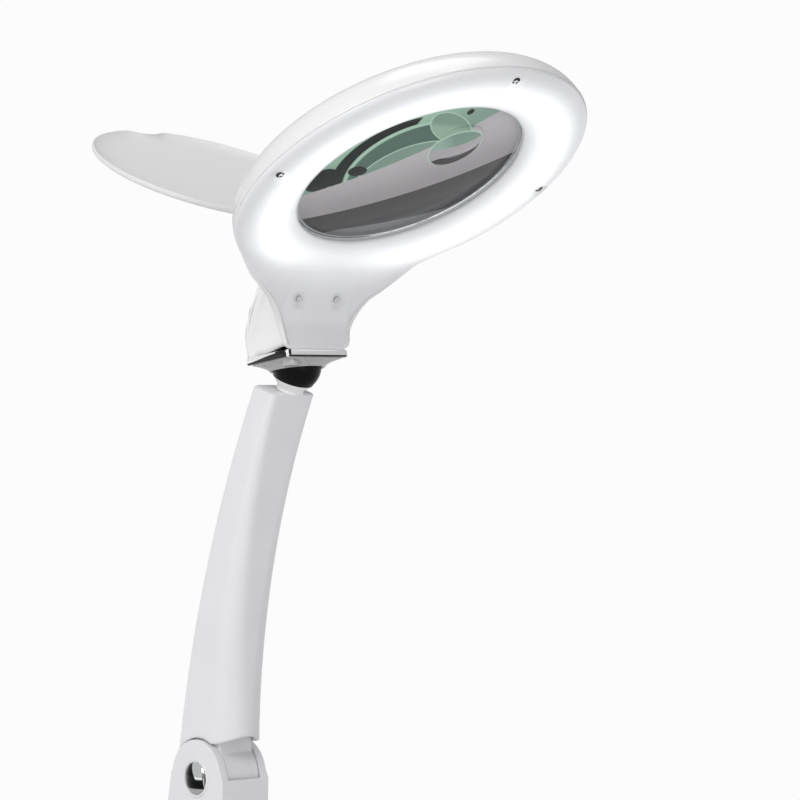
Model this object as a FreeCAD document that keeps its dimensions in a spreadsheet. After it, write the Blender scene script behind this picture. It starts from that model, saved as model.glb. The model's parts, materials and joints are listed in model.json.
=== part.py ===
import FreeCAD, Part
import math
import os
import Sketcher

# Table magnifier lamp: a lit ring head with a 100 mm lens and a flip-up cover, held by a ball joint
# on a two-piece arm over a weighted base. Millimetres; +Z up; the head's tip points along -Y.

V = FreeCAD.Vector
X_AXIS = V(1, 0, 0)
Z_AXIS = V(0, 0, 1)

doc = FreeCAD.newDocument("magnifier_lamp")
sheet = doc.addObject("Spreadsheet::Sheet", "dims")

DIMENSIONS = [
    # base
    ("base_depth", 200), ("base_width", 160), ("base_corner", 70), ("base_top", 30),
    ("base_wall", 2.5), ("pad_thick", 2), ("plate_thick", 3), ("ballast_thick", 13),
    ("cord_bore", 2.6), ("gland_outer", 5.2), ("gland_length", 9),
    ("rocker_length", 20), ("rocker_width", 11), ("switch_wall", 2),
    # arms
    ("elbow_back", 20), ("elbow_up", 200), ("foot_back", 45), ("foot_up", 50),
    ("arm_width", 24), ("lower_width", 26), ("arm_wall", 2.2), ("knuckle_radius", 15),
    ("knuckle_width", 18.6), ("ear_radius", 17), ("ear_thick", 2.9), ("ear_gap", 19.2),
    ("pin_radius", 4), ("pin_play", 0.05), ("bush_wall", 1.5), ("cap_radius", 7.6),
    ("cap_height", 2.6), ("washer_radius", 9),
    # ball joint
    ("ball_forward", 53), ("ball_up", 180.3), ("ball_radius", 10.6), ("stem_lean", 25),
    ("socket_lean", 8.3), ("spigot_radius", 2.8), ("spigot_bush", 0.8), ("collar_radius", 7.0),
    # head
    ("head_forward", 126.26), ("head_up", 258.78), ("head_pitch", 31.64),
    ("ring_outer", 80), ("ring_opening", 50), ("lens_radius", 52), ("lens_front", 3.1),
    ("lens_edge", 2), ("lens_curve", 349), ("insert_radius", 12), ("insert_curve", 43),
    ("tube_ring", 63), ("tube_radius", 5.5), ("tube_gap", 21), ("screw_ring", 72),
    # cover
    ("hinge_back", 68), ("hinge_up", 20.6), ("cover_open", 157.5), ("cover_radius", 60),
    ("cover_wall", 1.8), ("cover_depth", 5), ("hinge_pin", 1.5),
]

sheet_row = {}
for row_number, (alias, amount) in enumerate(DIMENSIONS, start=1):
    sheet.set("A%d" % row_number, alias)
    sheet.set("B%d" % row_number, str(amount))
    sheet.setAlias("B%d" % row_number, alias)
    sheet_row[alias] = float(amount)
doc.recompute()

subparts = []


def size(alias):
    """The number that the sheet holds under an alias."""
    return float(sheet.get(alias))


def amount_of(text):
    """Value of a sum such as 'ear_gap + 2.5 - pin_play', words being aliases of the sheet."""
    total = 0.0
    sign = 1.0
    for word in text.split():
        if word in "+-":
            sign = 1.0 if word == "+" else -1.0
            continue
        negative = word.startswith("-")
        bare = word.lstrip("-")
        number = size(bare) if bare in sheet_row else float(bare)
        total += sign * (-number if negative else number)
        sign = 1.0
    return total


def bound(text):
    """The same sum as an expression on the sheet's cells."""
    words = []
    for word in text.split():
        bare = word.lstrip("-")
        prefix = "-" if word.startswith("-") and word != "-" else ""
        words.append(prefix + "dims." + bare if bare in sheet_row else word)
    return " ".join(words)


def place(x=0, y=0, z=0, lean=0, axis=X_AXIS):
    return FreeCAD.Placement(V(x, y, z), FreeCAD.Rotation(axis, lean))


def keep(obj, label):
    """Marks an object as a sub-part: its label is the name of its file."""
    obj.Label = label
    subparts.append(obj)
    return obj


# frames that pieces are modelled in
ELBOW = place(0, size("elbow_back"), size("elbow_up"))
FOOT = place(0, size("foot_back"), size("foot_up"))
HEAD = ELBOW.multiply(place(0, -size("head_forward"), size("head_up"), -size("head_pitch")))
BALL_POINT = place(0, -size("ball_forward"), size("ball_up"))
SOCKET = ELBOW.multiply(BALL_POINT).multiply(place(lean=-size("socket_lean")))
STEM = ELBOW.multiply(BALL_POINT).multiply(place(lean=size("stem_lean")))
HINGE_PLACE = HEAD.multiply(place(0, size("hinge_back"), size("hinge_up")))
COVER = FreeCAD.Placement(HINGE_PLACE.Base, FreeCAD.Rotation(X_AXIS, -size("cover_open")))
LYING = place(lean=90, axis=V(0, 1, 0))


# ---------------------------------------------------------------- parametric primitives
def cylinder(radius, height, where=None):
    """Cylinder along +Z from the place given; radius and height are sums of aliases."""
    obj = doc.addObject("Part::Cylinder", "cylinder")
    obj.setExpression("Radius", bound(radius))
    obj.setExpression("Height", bound(height))
    obj.Placement = where or place()
    return obj


def across(radius, width, y=0, z=0, x=0):
    """Cylinder lying along X, centred on x."""
    where = place(x - amount_of(width) / 2, y, z).multiply(LYING)
    return cylinder(radius, width, where)


def block(width, depth, height, where=None):
    """Box centred in X and Y, standing on the place given."""
    obj = doc.addObject("Part::Box", "block")
    obj.setExpression("Length", bound(width))
    obj.setExpression("Width", bound(depth))
    obj.setExpression("Height", bound(height))
    centring = place(-amount_of(width) / 2, -amount_of(depth) / 2)
    obj.Placement = (where or place()).multiply(centring)
    return obj


def sphere(radius):
    obj = doc.addObject("Part::Sphere", "sphere")
    obj.setExpression("Radius", bound(radius))
    return obj


def joined(kind, base, tool):
    obj = doc.addObject(kind, "step")
    obj.Base = base
    obj.Tool = tool
    return obj


def cut(base, *tools):
    for tool in tools:
        base = joined("Part::Cut", base, tool)
    return base


def fuse(base, *tools):
    for tool in tools:
        base = joined("Part::Fuse", base, tool)
    return base


# ---------------------------------------------------------------- sketch-based bodies
def body_plane(body, role):
    return [item for item in body.Origin.OriginFeatures if item.Role == role][0]


def outline_sketch(body, role, vertices):
    """Closed outline of straight edges; each vertex is a pair of sums of aliases."""
    sketch = body.newObject("Sketcher::SketchObject", "outline")
    sketch.AttachmentSupport = [(body_plane(body, role), "")]
    sketch.MapMode = "FlatFace"
    points = [V(amount_of(across_text), amount_of(up_text), 0) for across_text, up_text in vertices]
    count = len(points)
    for index in range(count):
        sketch.addGeometry(Part.LineSegment(points[index], points[(index + 1) % count]), False)
    for index in range(count):
        sketch.addConstraint(Sketcher.Constraint("Coincident", index, 2, (index + 1) % count, 1))
    for index, texts in enumerate(vertices):
        for kind, text in zip(("DistanceX", "DistanceY"), texts):
            number = amount_of(text)
            row = sketch.addConstraint(Sketcher.Constraint(kind, -1, 1, index, 1, number))
            sketch.setExpression("Constraints[%d]" % row, bound(text))
    return sketch


def turned(vertices, where=None):
    """Body turned about Z from an outline in its XZ plane."""
    body = doc.addObject("PartDesign::Body", "turned")
    sketch = outline_sketch(body, "XZ_Plane", vertices)
    feature = body.newObject("PartDesign::Revolution", "turn")
    feature.Profile = sketch
    feature.ReferenceAxis = (sketch, ["V_Axis"])
    feature.Angle = 360
    body.Placement = where or place()
    return body


def disc_sketch(body, radii):
    sketch = body.newObject("Sketcher::SketchObject", "circles")
    sketch.AttachmentSupport = [(body_plane(body, "XY_Plane"), "")]
    sketch.MapMode = "FlatFace"
    for index, radius in enumerate(radii):
        sketch.addGeometry(Part.Circle(V(), Z_AXIS, amount_of(radius)), False)
        sketch.addConstraint(Sketcher.Constraint("Coincident", index, 3, -1, 1))
        row = sketch.addConstraint(Sketcher.Constraint("Radius", index, amount_of(radius)))
        sketch.setExpression("Constraints[%d]" % row, bound(radius))
    return sketch


def washer_body(outer, inner, thickness, where=None):
    """Flat ring padded from two circles."""
    body = doc.addObject("PartDesign::Body", "washer")
    sketch = disc_sketch(body, [outer, inner])
    pad = body.newObject("PartDesign::Pad", "pad")
    pad.Profile = sketch
    pad.setExpression("Length", bound(thickness))
    body.Placement = where or place()
    return body


# ---------------------------------------------------------------- free shapes
def shaped(shape, label, where=None):
    """Sub-part whose shape comes from Part's own functions."""
    obj = doc.addObject("Part::Feature", "shaped")
    obj.Shape = shape
    obj.Placement = (where or place()).multiply(shape.Placement)
    return keep(obj, label)


def arc(start, middle, end):
    return Part.Arc(start, middle, end).toShape()


def line(start, end):
    return Part.LineSegment(start, end).toShape()


def side(forward, up):
    """Point of a side view, forward of and above the frame's origin."""
    return V(0, -forward, up)


def extruded(edges, width):
    """Closed side-view outline made into a solid, centred on X = 0."""
    face = Part.Face(Part.Wire(edges))
    face.translate(V(-width / 2, 0, 0))
    return face.extrude(V(width, 0, 0))


def ring_turned(edges):
    face = Part.Face(Part.Wire(edges))
    return face.revolve(V(), Z_AXIS, 360)


def at(radius, up):
    return V(radius, 0, up)


def rod(radius, length, centre, direction):
    start = centre - direction.normalize() * (length / 2)
    return Part.makeCylinder(radius, length, start, direction)


def edges_along(shape, test):
    return [edge for edge in shape.Edges if test(edge)]


# ================================================================ base
def rounded_slab(depth, width, corner, bottom, top):
    slab = Part.makeBox(width, depth, top - bottom, V(-width / 2, -depth / 2, bottom))
    upright = edges_along(slab, lambda edge: abs(edge.BoundBox.ZLength - (top - bottom)) < 0.01)
    return slab.makeFillet(corner, upright)


BASE_ROUND = 11.0


def base_shell():
    """Dome-edged moulded cover, open below, with a flat seat for the fork at the back."""
    wall = size("base_wall")
    bottom = size("pad_thick") + size("plate_thick")
    outer = rounded_slab(size("base_depth"), size("base_width"), size("base_corner"), 3.2,
                         size("base_top"))
    rim = edges_along(outer, lambda edge: abs(edge.BoundBox.ZMin - size("base_top")) < 0.01)
    outer = outer.makeFillet(BASE_ROUND, rim)
    inner = rounded_slab(size("base_depth") - 2 * wall, size("base_width") - 2 * wall,
                         size("base_corner") - wall, 0, size("base_top") - wall)
    rim = edges_along(inner, lambda edge: abs(edge.BoundBox.ZMin - size("base_top") + wall) < 0.01)
    inner = inner.makeFillet(BASE_ROUND - wall, rim)
    shell = outer.cut(inner)
    for x, y in SCREW_SPOTS:
        boss = Part.makeCylinder(4.5, size("base_top") - bottom - 1.3, V(x, y, bottom + 0.3))
        hole = Part.makeCylinder(1.8, 14, V(x, y, bottom))
        shell = shell.fuse(boss.common(outer)).cut(hole)
    opening = Part.makeBox(SWITCH_WIDTH + 0.2, SWITCH_LENGTH + 0.2, 20,
                           V(SWITCH_X - SWITCH_WIDTH / 2 - 0.1, SWITCH_Y - SWITCH_LENGTH / 2 - 0.1, 15))
    gland_hole = rod(size("gland_outer") - 1.1, 20, V(0, size("base_depth") / 2, GLAND_UP), V(0, 1, 0))
    fork_holes = [Part.makeCylinder(2.3, 20, V(x, size("foot_back") + y, 20)) for x, y in FORK_BOLTS]
    for tool in [opening, gland_hole] + fork_holes:
        shell = shell.cut(tool)
    return shell


SCREW_SPOTS = [(x, y) for x in (-58, 58) for y in (-62, 62)]
FORK_BOLTS = [(x, y) for x in (-20, 20) for y in (-9, 9)]
SWITCH_X = 38.0
SWITCH_Y = -58.0
SWITCH_WIDTH = size("rocker_width") + 2 * size("switch_wall")
SWITCH_LENGTH = size("rocker_length") + 2 * size("switch_wall")
GLAND_UP = 14.0

shaped(base_shell(), "base_cover")


def base_floor():
    """Steel plate under the cover, with holes for the four case screws."""
    bottom = size("pad_thick")
    inset = 2 * (size("base_wall") + 0.4)
    slab = rounded_slab(size("base_depth") - inset, size("base_width") - inset,
                        size("base_corner") - inset / 2, bottom + 1.5, bottom + size("plate_thick"))
    for x, y in SCREW_SPOTS:
        slab = slab.cut(Part.makeCylinder(2.1, 20, V(x, y, 0)))
    for x, y in FORK_BOLTS:
        slab = slab.cut(Part.makeCylinder(5.5, 20, V(x, size("foot_back") + y, 0)))
    return slab


shaped(base_floor(), "base_plate")


def ballast():
    """Cast weight on the floor plate, relieved for the bosses, the switch and the fork's bolts."""
    bottom = size("pad_thick") + size("plate_thick") + 0.1
    slab = rounded_slab(168, 126, 50, bottom, bottom + size("ballast_thick"))
    for x, y in SCREW_SPOTS:
        slab = slab.cut(Part.makeCylinder(6, 40, V(x, y, 0)))
    slab = slab.cut(Part.makeBox(SWITCH_WIDTH + 6, SWITCH_LENGTH + 6, 40,
                                 V(SWITCH_X - SWITCH_WIDTH / 2 - 3, SWITCH_Y - SWITCH_LENGTH / 2 - 3, 0)))
    for x, y in FORK_BOLTS:
        slab = slab.cut(Part.makeCylinder(5.5, 40, V(x, size("foot_back") + y, 0)))
    return slab


shaped(ballast(), "ballast_weight")


def sole():
    """Non-slip sole glued under the floor plate; its rim fills the joint with the cover."""
    slab = rounded_slab(size("base_depth") - 4, size("base_width") - 4, size("base_corner") - 2,
                        0, size("pad_thick") + 1)
    recess = rounded_slab(size("base_depth") - 16, size("base_width") - 16, size("base_corner") - 8,
                          size("pad_thick") + 0.5, 10)
    slab = slab.cut(recess)
    rim = rounded_slab(size("base_depth") - 1, size("base_width") - 1, size("base_corner") - 0.5,
                       size("pad_thick") + 0.5, 20)
    slab = slab.cut(rim)
    for x, y in SCREW_SPOTS:
        slab = slab.cut(Part.makeCylinder(4, 20, V(x, y, 0)))
    return slab


shaped(sole(), "non_slip_sole")


def base_screw_set():
    """Pan-head screws up through the floor plate into the cover's bosses."""
    head_top = size("pad_thick") + 1.4
    screws = []
    for x, y in SCREW_SPOTS:
        head = Part.makeCylinder(3.6, 2.2, V(x, y, head_top - 2.2))
        shank = Part.makeCylinder(1.75, 13, V(x, y, head_top))
        screws.append(head.fuse(shank))
    return Part.makeCompound(screws)


shaped(base_screw_set(), "base_screws")


def pedestal():
    """Fork that carries the lower arm: a foot on the cover and two round ears."""
    up = size("foot_up")
    top = size("base_top") + 0.02
    gap = size("ear_gap") + 2.6
    ear = 4.0
    foot = Part.makeBox(52, 38, 4, V(-26, -19, top - up))
    foot = foot.makeFillet(8, edges_along(foot, lambda edge: edge.BoundBox.ZLength > 3.9))
    ears = []
    for hand in (-1, 1):
        inner_x = gap / 2 if hand > 0 else -gap / 2 - ear
        disc = Part.makeCylinder(15, ear, V(inner_x, 0, 0), X_AXIS)
        web = Part.makeBox(ear, 30, up - top - 1, V(inner_x, -15, top - up + 1))
        ears.append(disc.fuse(web))
    fork = foot.fuse(ears[0]).fuse(ears[1])
    fork = fork.cut(rod(size("pin_radius") + 0.02, 60, V(), X_AXIS))
    for x, y in FORK_BOLTS:
        fork = fork.cut(Part.makeCylinder(1.9, 30, V(x, y, top - up - 10)))
    return fork.removeSplitter()


shaped(pedestal(), "pedestal_fork", FOOT)


def fork_bolt_set():
    """Bolts up from under the cover's top into the fork's foot."""
    below = size("base_top") - size("base_wall") - size("foot_up")
    bolts = []
    for x, y in FORK_BOLTS:
        head = Part.makeCylinder(3.6, 3, V(x, y, below - 3))
        bolts.append(head.fuse(Part.makeCylinder(1.85, 6, V(x, y, below))))
    return Part.makeCompound(bolts)


shaped(fork_bolt_set(), "fork_bolts", FOOT)

gland = washer_body("gland_outer - 1.2", "cord_bore", "gland_length",
                    place(0, size("base_depth") / 2 + 2.5, GLAND_UP, 90))
flange = washer_body("gland_outer + 1", "cord_bore", "2.4",
                     place(0, size("base_depth") / 2 + 2.5, GLAND_UP, 90))
keep(fuse(gland, flange), "cord_gland")

# switch: a frame let into the cover and a rocker that tips on its two stub pins
switch_frame = block("rocker_width + switch_wall + switch_wall", "rocker_length + switch_wall + switch_wall",
                     "12", place(SWITCH_X, SWITCH_Y, size("base_top") - 10.8))
flange_frame = block("rocker_width + switch_wall + switch_wall + 3",
                     "rocker_length + switch_wall + switch_wall + 3",
                     "1.2", place(SWITCH_X, SWITCH_Y, size("base_top") + 0.02))
switch_well = block("rocker_width + 0.8", "rocker_length + 0.8", "20",
                    place(SWITCH_X, SWITCH_Y, size("base_top") - 8.8))
switch_axle = across("1.05", "rocker_width + 3", SWITCH_Y, size("base_top") - 2, SWITCH_X)
keep(cut(fuse(switch_frame, flange_frame), switch_well, switch_axle), "switch_frame")


def rocker():
    """Shallow V-topped rocker; the end away from the user is pressed down at rest."""
    half = size("rocker_length") / 2
    low, high, tip = -2.8, 1.6, 9.0
    outline = [side(-half, 0.4), side(0, high), side(half, high + 3.6), side(half - 0.8, low),
               side(-half + 2.2, low)]
    edges = [line(outline[index], outline[(index + 1) % len(outline)]) for index in range(len(outline))]
    lever = extruded(edges, size("rocker_width"))
    swing = rod(tip + 0.9, size("rocker_width") + 2, V(), X_AXIS)
    stub = rod(1.0, size("rocker_width") + 2.6, V(), X_AXIS)
    return lever.common(swing).fuse(stub)


shaped(rocker(), "switch_rocker", place(SWITCH_X, SWITCH_Y, size("base_top") - 2))


# ================================================================ arms
def hub(radius, width):
    return rod(radius, width, V(), X_AXIS)


def arm_solid(back, front, width):
    """Side-view outline between a back arc and a front arc, extruded to the arm's width."""
    edges = [arc(*back), line(back[2], front[2]), arc(front[2], front[1], front[0]), line(front[0], back[0])]
    return extruded(edges, width)


UPPER_BACK = (side(-15.9, 4), side(1.6, 81.5), side(38.9, 174.8))
UPPER_FRONT = (side(15.9, 15), side(23.7, 86), side(51.9, 168.7))
LOWER_BACK = (side(-17.5, 2.4), side(-31.0, -66), side(-46.0, -134))
LOWER_FRONT = (side(18.4, 0), side(13.6, -66), side(0.5, -134))


def inset_points(points, inset, lower, upper):
    """The same arc moved inwards along the arm's depth, with its ends drawn in along it."""
    start, middle, end = points
    along = (end - start).normalize()
    return (start + along * lower + V(0, inset, 0), middle + V(0, inset, 0),
            end - along * upper + V(0, inset, 0))


def upper_arm():
    """Curved tapering arm: channel open at the back, closed top for the ball's spigot, knuckle below."""
    width = size("arm_width")
    wall = size("arm_wall")
    solid = arm_solid(UPPER_BACK, UPPER_FRONT, width)
    solid = solid.makeChamfer(2.0, edges_along(solid, lambda edge: edge.Length > 60))
    solid = solid.cut(hub(size("ear_radius") + 0.8, width + 2))
    hollow = arm_solid(inset_points(UPPER_BACK, -wall - 1.0, 26, 9), inset_points(UPPER_FRONT, wall, 12, 9),
                       width - 2 * wall)
    slot = arm_solid(inset_points(UPPER_BACK, 3, 26, 9), inset_points(UPPER_BACK, -wall - 1.5, 26, 9),
                     width - 2 * wall)
    neck = extruded([line(side(-11, 0), side(-8.5, 26)), line(side(-8.5, 26), side(14, 26)),
                     line(side(14, 26), side(12, 0)), line(side(12, 0), side(-11, 0))],
                    size("knuckle_width"))
    knuckle = hub(size("knuckle_radius"), size("knuckle_width")).fuse(neck)
    solid = solid.cut(hollow).cut(slot).fuse(knuckle)
    lead_way = rod(3, 30, side(2.2, 24), V(0, 0, 1))
    bush_hole = hub(size("pin_radius") + size("bush_wall"), width)
    return solid.cut(bush_hole).cut(SPIGOT_BORE).cut(lead_way).removeSplitter()


stem_direction = V(0, -math.sin(math.radians(size("stem_lean"))), math.cos(math.radians(size("stem_lean"))))
ball_centre = side(size("ball_forward"), size("ball_up"))
SPIGOT_BORE = Part.makeCylinder(size("spigot_radius") + size("spigot_bush"), 30,
                                ball_centre - stem_direction * 34, stem_direction)

shaped(upper_arm(), "upper_arm_channel", ELBOW)


def upper_back():
    """Snap-in strip that closes the channel from behind."""
    play = 0.15
    strip = arm_solid(inset_points(UPPER_BACK, 0, 26.3, 9.3),
                      inset_points(UPPER_BACK, -size("arm_wall"), 26.3, 9.3),
                      size("arm_width") - 2 * size("arm_wall") - 2 * play)
    return strip


shaped(upper_back(), "upper_arm_strip", ELBOW)

# bushes: plain sleeves pressed into the knuckles and into the arm's top
keep(washer_body("pin_radius + bush_wall", "pin_radius + pin_play", "knuckle_width",
                 ELBOW.multiply(place(-size("knuckle_width") / 2)).multiply(LYING)), "elbow_bush")
keep(washer_body("spigot_radius + spigot_bush", "spigot_radius + pin_play", "6.7",
                 STEM.multiply(place(0, 0, -17.4))), "swivel_bush")


def lower_arm():
    """Lower arm: fork ears and curved web at the elbow, knuckle at the foot, channel open at the back."""
    width = size("lower_width")
    wall = size("arm_wall")
    gap = size("ear_gap")
    solid = arm_solid(LOWER_BACK, LOWER_FRONT, width)
    solid = solid.fuse(hub(size("ear_radius"), width)).removeSplitter()
    solid = solid.cut(hub(size("knuckle_radius") + 1.0, gap))
    mouth = Part.makeBox(gap, 26, 40, V(-gap / 2, -13, 0))
    clear_front = Part.makeBox(gap, 24, 40, V(-gap / 2, -30, 0))
    clear_back = Part.makeBox(gap, 24, 40, V(-gap / 2, 8, 2.4))
    solid = solid.cut(mouth).cut(clear_front).cut(clear_back)
    below = V(0, size("foot_back") - size("elbow_back"), size("foot_up") - size("elbow_up"))
    solid = solid.cut(rod(19.5, width + 2, below, X_AXIS))
    hollow = arm_solid(inset_points(LOWER_BACK, -wall - 1.0, 26, 22), inset_points(LOWER_FRONT, wall, 26, 22),
                       width - 2 * wall)
    slot = arm_solid(inset_points(LOWER_BACK, 3, 26, 22), inset_points(LOWER_BACK, -wall - 1.5, 26, 22),
                     width - 2 * wall)
    foot_neck = extruded([line(side(-38, -124), side(-36, -150)), line(side(-36, -150), side(-13, -150)),
                          line(side(-13, -150), side(-9, -124)), line(side(-9, -124), side(-38, -124))], gap + 1.6)
    knuckle = rod(15, gap + 1.6, below, X_AXIS).fuse(foot_neck)
    solid = solid.cut(hollow).cut(slot).fuse(knuckle)
    solid = solid.cut(rod(size("pin_radius") + size("bush_wall"), width + 2, below, X_AXIS))
    return solid.cut(hub(size("pin_radius") + 0.02, width + 2)).removeSplitter()


shaped(lower_arm(), "lower_arm_channel", ELBOW)


def lower_back():
    strip = arm_solid(inset_points(LOWER_BACK, 0, 26.3, 22.3),
                      inset_points(LOWER_BACK, -size("arm_wall"), 26.3, 22.3),
                      size("lower_width") - 2 * size("arm_wall") - 0.3)
    return strip


shaped(lower_back(), "lower_arm_strip", ELBOW)
keep(washer_body("pin_radius + bush_wall", "pin_radius + pin_play", "ear_gap + 1.6",
                 FOOT.multiply(place(-size("ear_gap") / 2 - 0.8)).multiply(LYING)), "foot_bush")


def cap_pair(half_span, where, label):
    """Two domed bright caps pressed over the ends of a pivot pin, each with a thin rim."""
    radius = size("cap_radius")
    height = size("cap_height")
    dome_radius = (radius ** 2 + height ** 2) / (2 * height)
    cap = Part.makeCylinder(radius, height + 1, V(0, 0, 0), Z_AXIS)
    dome = Part.makeSphere(dome_radius, V(0, 0, height - dome_radius))
    rim = Part.makeCylinder(radius + 0.9, 0.7)
    cap = cap.common(dome).fuse(rim)
    caps = []
    for hand in (-1, 1):
        one = cap.copy()
        one.Placement = place(hand * half_span, 0, 0, hand * 90, V(0, 1, 0))
        caps.append(one)
    return shaped(Part.makeCompound(caps), label, where)


def pin(length, where, label):
    lying = where.multiply(place(-amount_of(length) / 2)).multiply(LYING)
    return keep(cylinder("pin_radius", length, lying), label)


def washer_pair(inner_half, thickness, where, label):
    """Fibre friction washers, one each side of the knuckle."""
    ring = Part.makeCylinder(size("washer_radius"), thickness).cut(
        Part.makeCylinder(size("pin_radius") + 0.1, thickness))
    rings = []
    for hand in (-1, 1):
        one = ring.copy()
        one.Placement = place(hand * inner_half, 0, 0, hand * 90, V(0, 1, 0))
        rings.append(one)
    return shaped(Part.makeCompound(rings), label, where)


pin("lower_width - 0.6", ELBOW, "elbow_pin")
cap_pair(size("lower_width") / 2 + 0.02, ELBOW, "elbow_caps")
washer_pair(size("knuckle_width") / 2 + 0.02, 0.26, ELBOW, "elbow_washers")
pin("ear_gap + 2.6 + 7.4", FOOT, "foot_pin")
cap_pair(size("ear_gap") / 2 + 1.3 + 4.02, FOOT, "foot_caps")
washer_pair(size("ear_gap") / 2 + 0.82, 0.46, FOOT, "foot_washers")

# ================================================================ ball joint
stem_profile = [("0", "-22"), ("spigot_radius", "-22"), ("spigot_radius", "-10.5"), ("5.8", "-10.5"),
                ("6.2", "-9.9"), ("collar_radius", "-8.6"), ("collar_radius", "-8.2"), ("0", "-8.2")]
stem_body = turned(stem_profile, STEM)
stem_ball_seat = sphere("ball_radius + 0.02")
stem_ball_seat.Placement = STEM
keep(cut(stem_body, stem_ball_seat), "ball_stem")
ball = sphere("ball_radius")
ball.Placement = STEM
keep(ball, "joint_ball")
keep(washer_body("spigot_radius + spigot_bush - 0.1", "spigot_radius + 0.02", "1.2",
                 STEM.multiply(place(0, 0, -20.2))), "stem_circlip")


def friction_pad():
    """Spring pad over the top of the ball, between it and the socket."""
    shell = Part.makeSphere(size("ball_radius") + 0.52).cut(Part.makeSphere(size("ball_radius") + 0.04))
    cone = Part.makeCylinder(7.6, 12, V(0, 0, 5))
    return shell.common(cone)


shaped(friction_pad(), "friction_pad", STEM)


def plate_outline(half_x, front, back, corner, z):
    """Rounded rectangle in the socket's plane z, off-centre towards the front."""
    slab = Part.makeBox(2 * half_x, front + back, 1, V(-half_x, -front, z))
    slab = slab.makeFillet(corner, edges_along(slab, lambda edge: edge.BoundBox.ZLength > 0.9))
    lowest = [face for face in slab.Faces if abs(face.BoundBox.ZMax - z) < 0.01][0]
    return lowest.OuterWire


PLATE_FRONT, PLATE_REAR, PLATE_HALF = 14.8, 13.4, 17.3
PLATE_LOW, PLATE_HIGH = 2.1, 5.2


def neck_plate():
    """Bright plate that closes the neck round the socket."""
    face = Part.Face(plate_outline(PLATE_HALF, PLATE_FRONT, PLATE_REAR, 3.5, PLATE_LOW))
    solid = face.extrude(V(0, 0, PLATE_HIGH - PLATE_LOW))
    rims = edges_along(solid, lambda edge: edge.BoundBox.ZLength < 0.01 and edge.BoundBox.ZMin < PLATE_LOW + 0.1)
    solid = solid.makeFillet(0.5, rims)
    return solid.cut(Part.makeCylinder(12.1, 20, V(0, 0, -5))).cut(CLAMP_HOLE)


CLAMP_SPOT = V(-11.6, -9.6, 0)
CLAMP_HOLE = Part.makeCylinder(1.55, 10, CLAMP_SPOT + V(0, 0, -3))
shaped(neck_plate(), "neck_plate", SOCKET)


def socket_cap():
    """Moulded cap that holds the ball: flared skirt under the plate and a domed cup inside the neck."""
    rim_low = -1.5
    flare = Part.makeLoft([plate_outline(PLATE_HALF - 1.2, PLATE_FRONT - 1.2, PLATE_REAR - 1.2, 3.5,
                                         PLATE_LOW - 0.02),
                           plate_outline(13.6, 12.6, 12.2, 9, PLATE_LOW - 1.9),
                           plate_outline(11.8, 11.8, 11.8, 11.2, rim_low)], True)
    wide, crown = 11.9, 12.1
    cup = ring_turned([line(at(0, 0), at(wide, 0)), line(at(wide, 0), at(wide, PLATE_LOW)),
                       arc(at(wide, PLATE_LOW), at(crown * 0.74, crown * 0.69), at(0, crown)),
                       line(at(0, crown), at(0, 0))])
    boss = Part.makeCylinder(3.3, 3.4, CLAMP_SPOT + V(0, 0, -1.32))
    pocket = Part.makeCylinder(2.7, 4, CLAMP_SPOT + V(0, 0, -4.1))
    solid = flare.fuse(cup).fuse(boss).cut(pocket).cut(CLAMP_HOLE)
    seat = size("ball_radius") + 0.08
    room = size("ball_radius") + 0.6
    step_up, lead_hole, top = 0.6, 3.0, 14.0
    seat_edge = at(math.sqrt(seat ** 2 - step_up ** 2), step_up)
    room_edge = at(math.sqrt(room ** 2 - step_up ** 2), step_up)
    room_top = at(lead_hole, math.sqrt(room ** 2 - lead_hole ** 2))
    hollow = ring_turned([
        arc(at(0, -seat), at(seat * math.sin(0.8), -seat * math.cos(0.8)), seat_edge), line(seat_edge, room_edge),
        arc(room_edge, at(room * math.sin(0.8), room * math.cos(0.8)), room_top),
        line(room_top, at(lead_hole, top)), line(at(lead_hole, top), at(0, top)), line(at(0, top), at(0, -seat))])
    return solid.cut(hollow).removeSplitter()


shaped(socket_cap(), "socket_cap", SOCKET)
CLAMP_PLACE = SOCKET.multiply(place(CLAMP_SPOT.x, CLAMP_SPOT.y, -1.2))
keep(fuse(cylinder("1.5", "6", CLAMP_PLACE), cylinder("2.6", "1.08", CLAMP_PLACE)), "clamp_screw")

# ================================================================ head
SEAM_UP = 3.0
NECK_SECTIONS = [
    # centre back, centre up, tilt of the section, half width, half height, corner radius
    (60.0, 4.6, 0.0, 44.0, 9.0, 7.0),
    (77.0, 0.6, 10.0, 32.0, 12.4, 7.5),
    (92.2, -9.8, 54.0, 20.5, 13.2, 6.0),
    (100.8, -23.75, 66.7, 17.3, 14.1, 3.5),
]


def neck_section(back, up, tilt, half_width, half_height, corner):
    """Rounded rectangle across the neck, at a tilt about X."""
    slab = Part.makeBox(2 * half_width, 1, 2 * half_height, V(-half_width, 0, -half_height))
    slab = slab.makeFillet(corner, edges_along(slab, lambda edge: edge.BoundBox.YLength > 0.9))
    wire = [face for face in slab.Faces if face.BoundBox.YMax < 0.01][0].OuterWire
    wire.Placement = place(0, back, up, -tilt)
    return wire


def neck_loft(inset, extend):
    sections = [neck_section(back, up, tilt, half_width - inset, half_height - inset, max(corner - inset, 1.5))
                for back, up, tilt, half_width, half_height, corner in NECK_SECTIONS]
    loft = Part.makeLoft(sections, True)
    if extend:
        back, up, tilt, half_width, half_height, corner = NECK_SECTIONS[-1]
        outward = place(lean=-tilt).multVec(V(0, 1, 0))
        wire = neck_section(back, up, tilt, half_width - inset, half_height - inset, max(corner - inset, 1.5))
        wire.translate(outward * -0.5)
        loft = loft.fuse(Part.Face(wire).extrude(outward * 4))
    return loft


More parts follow.
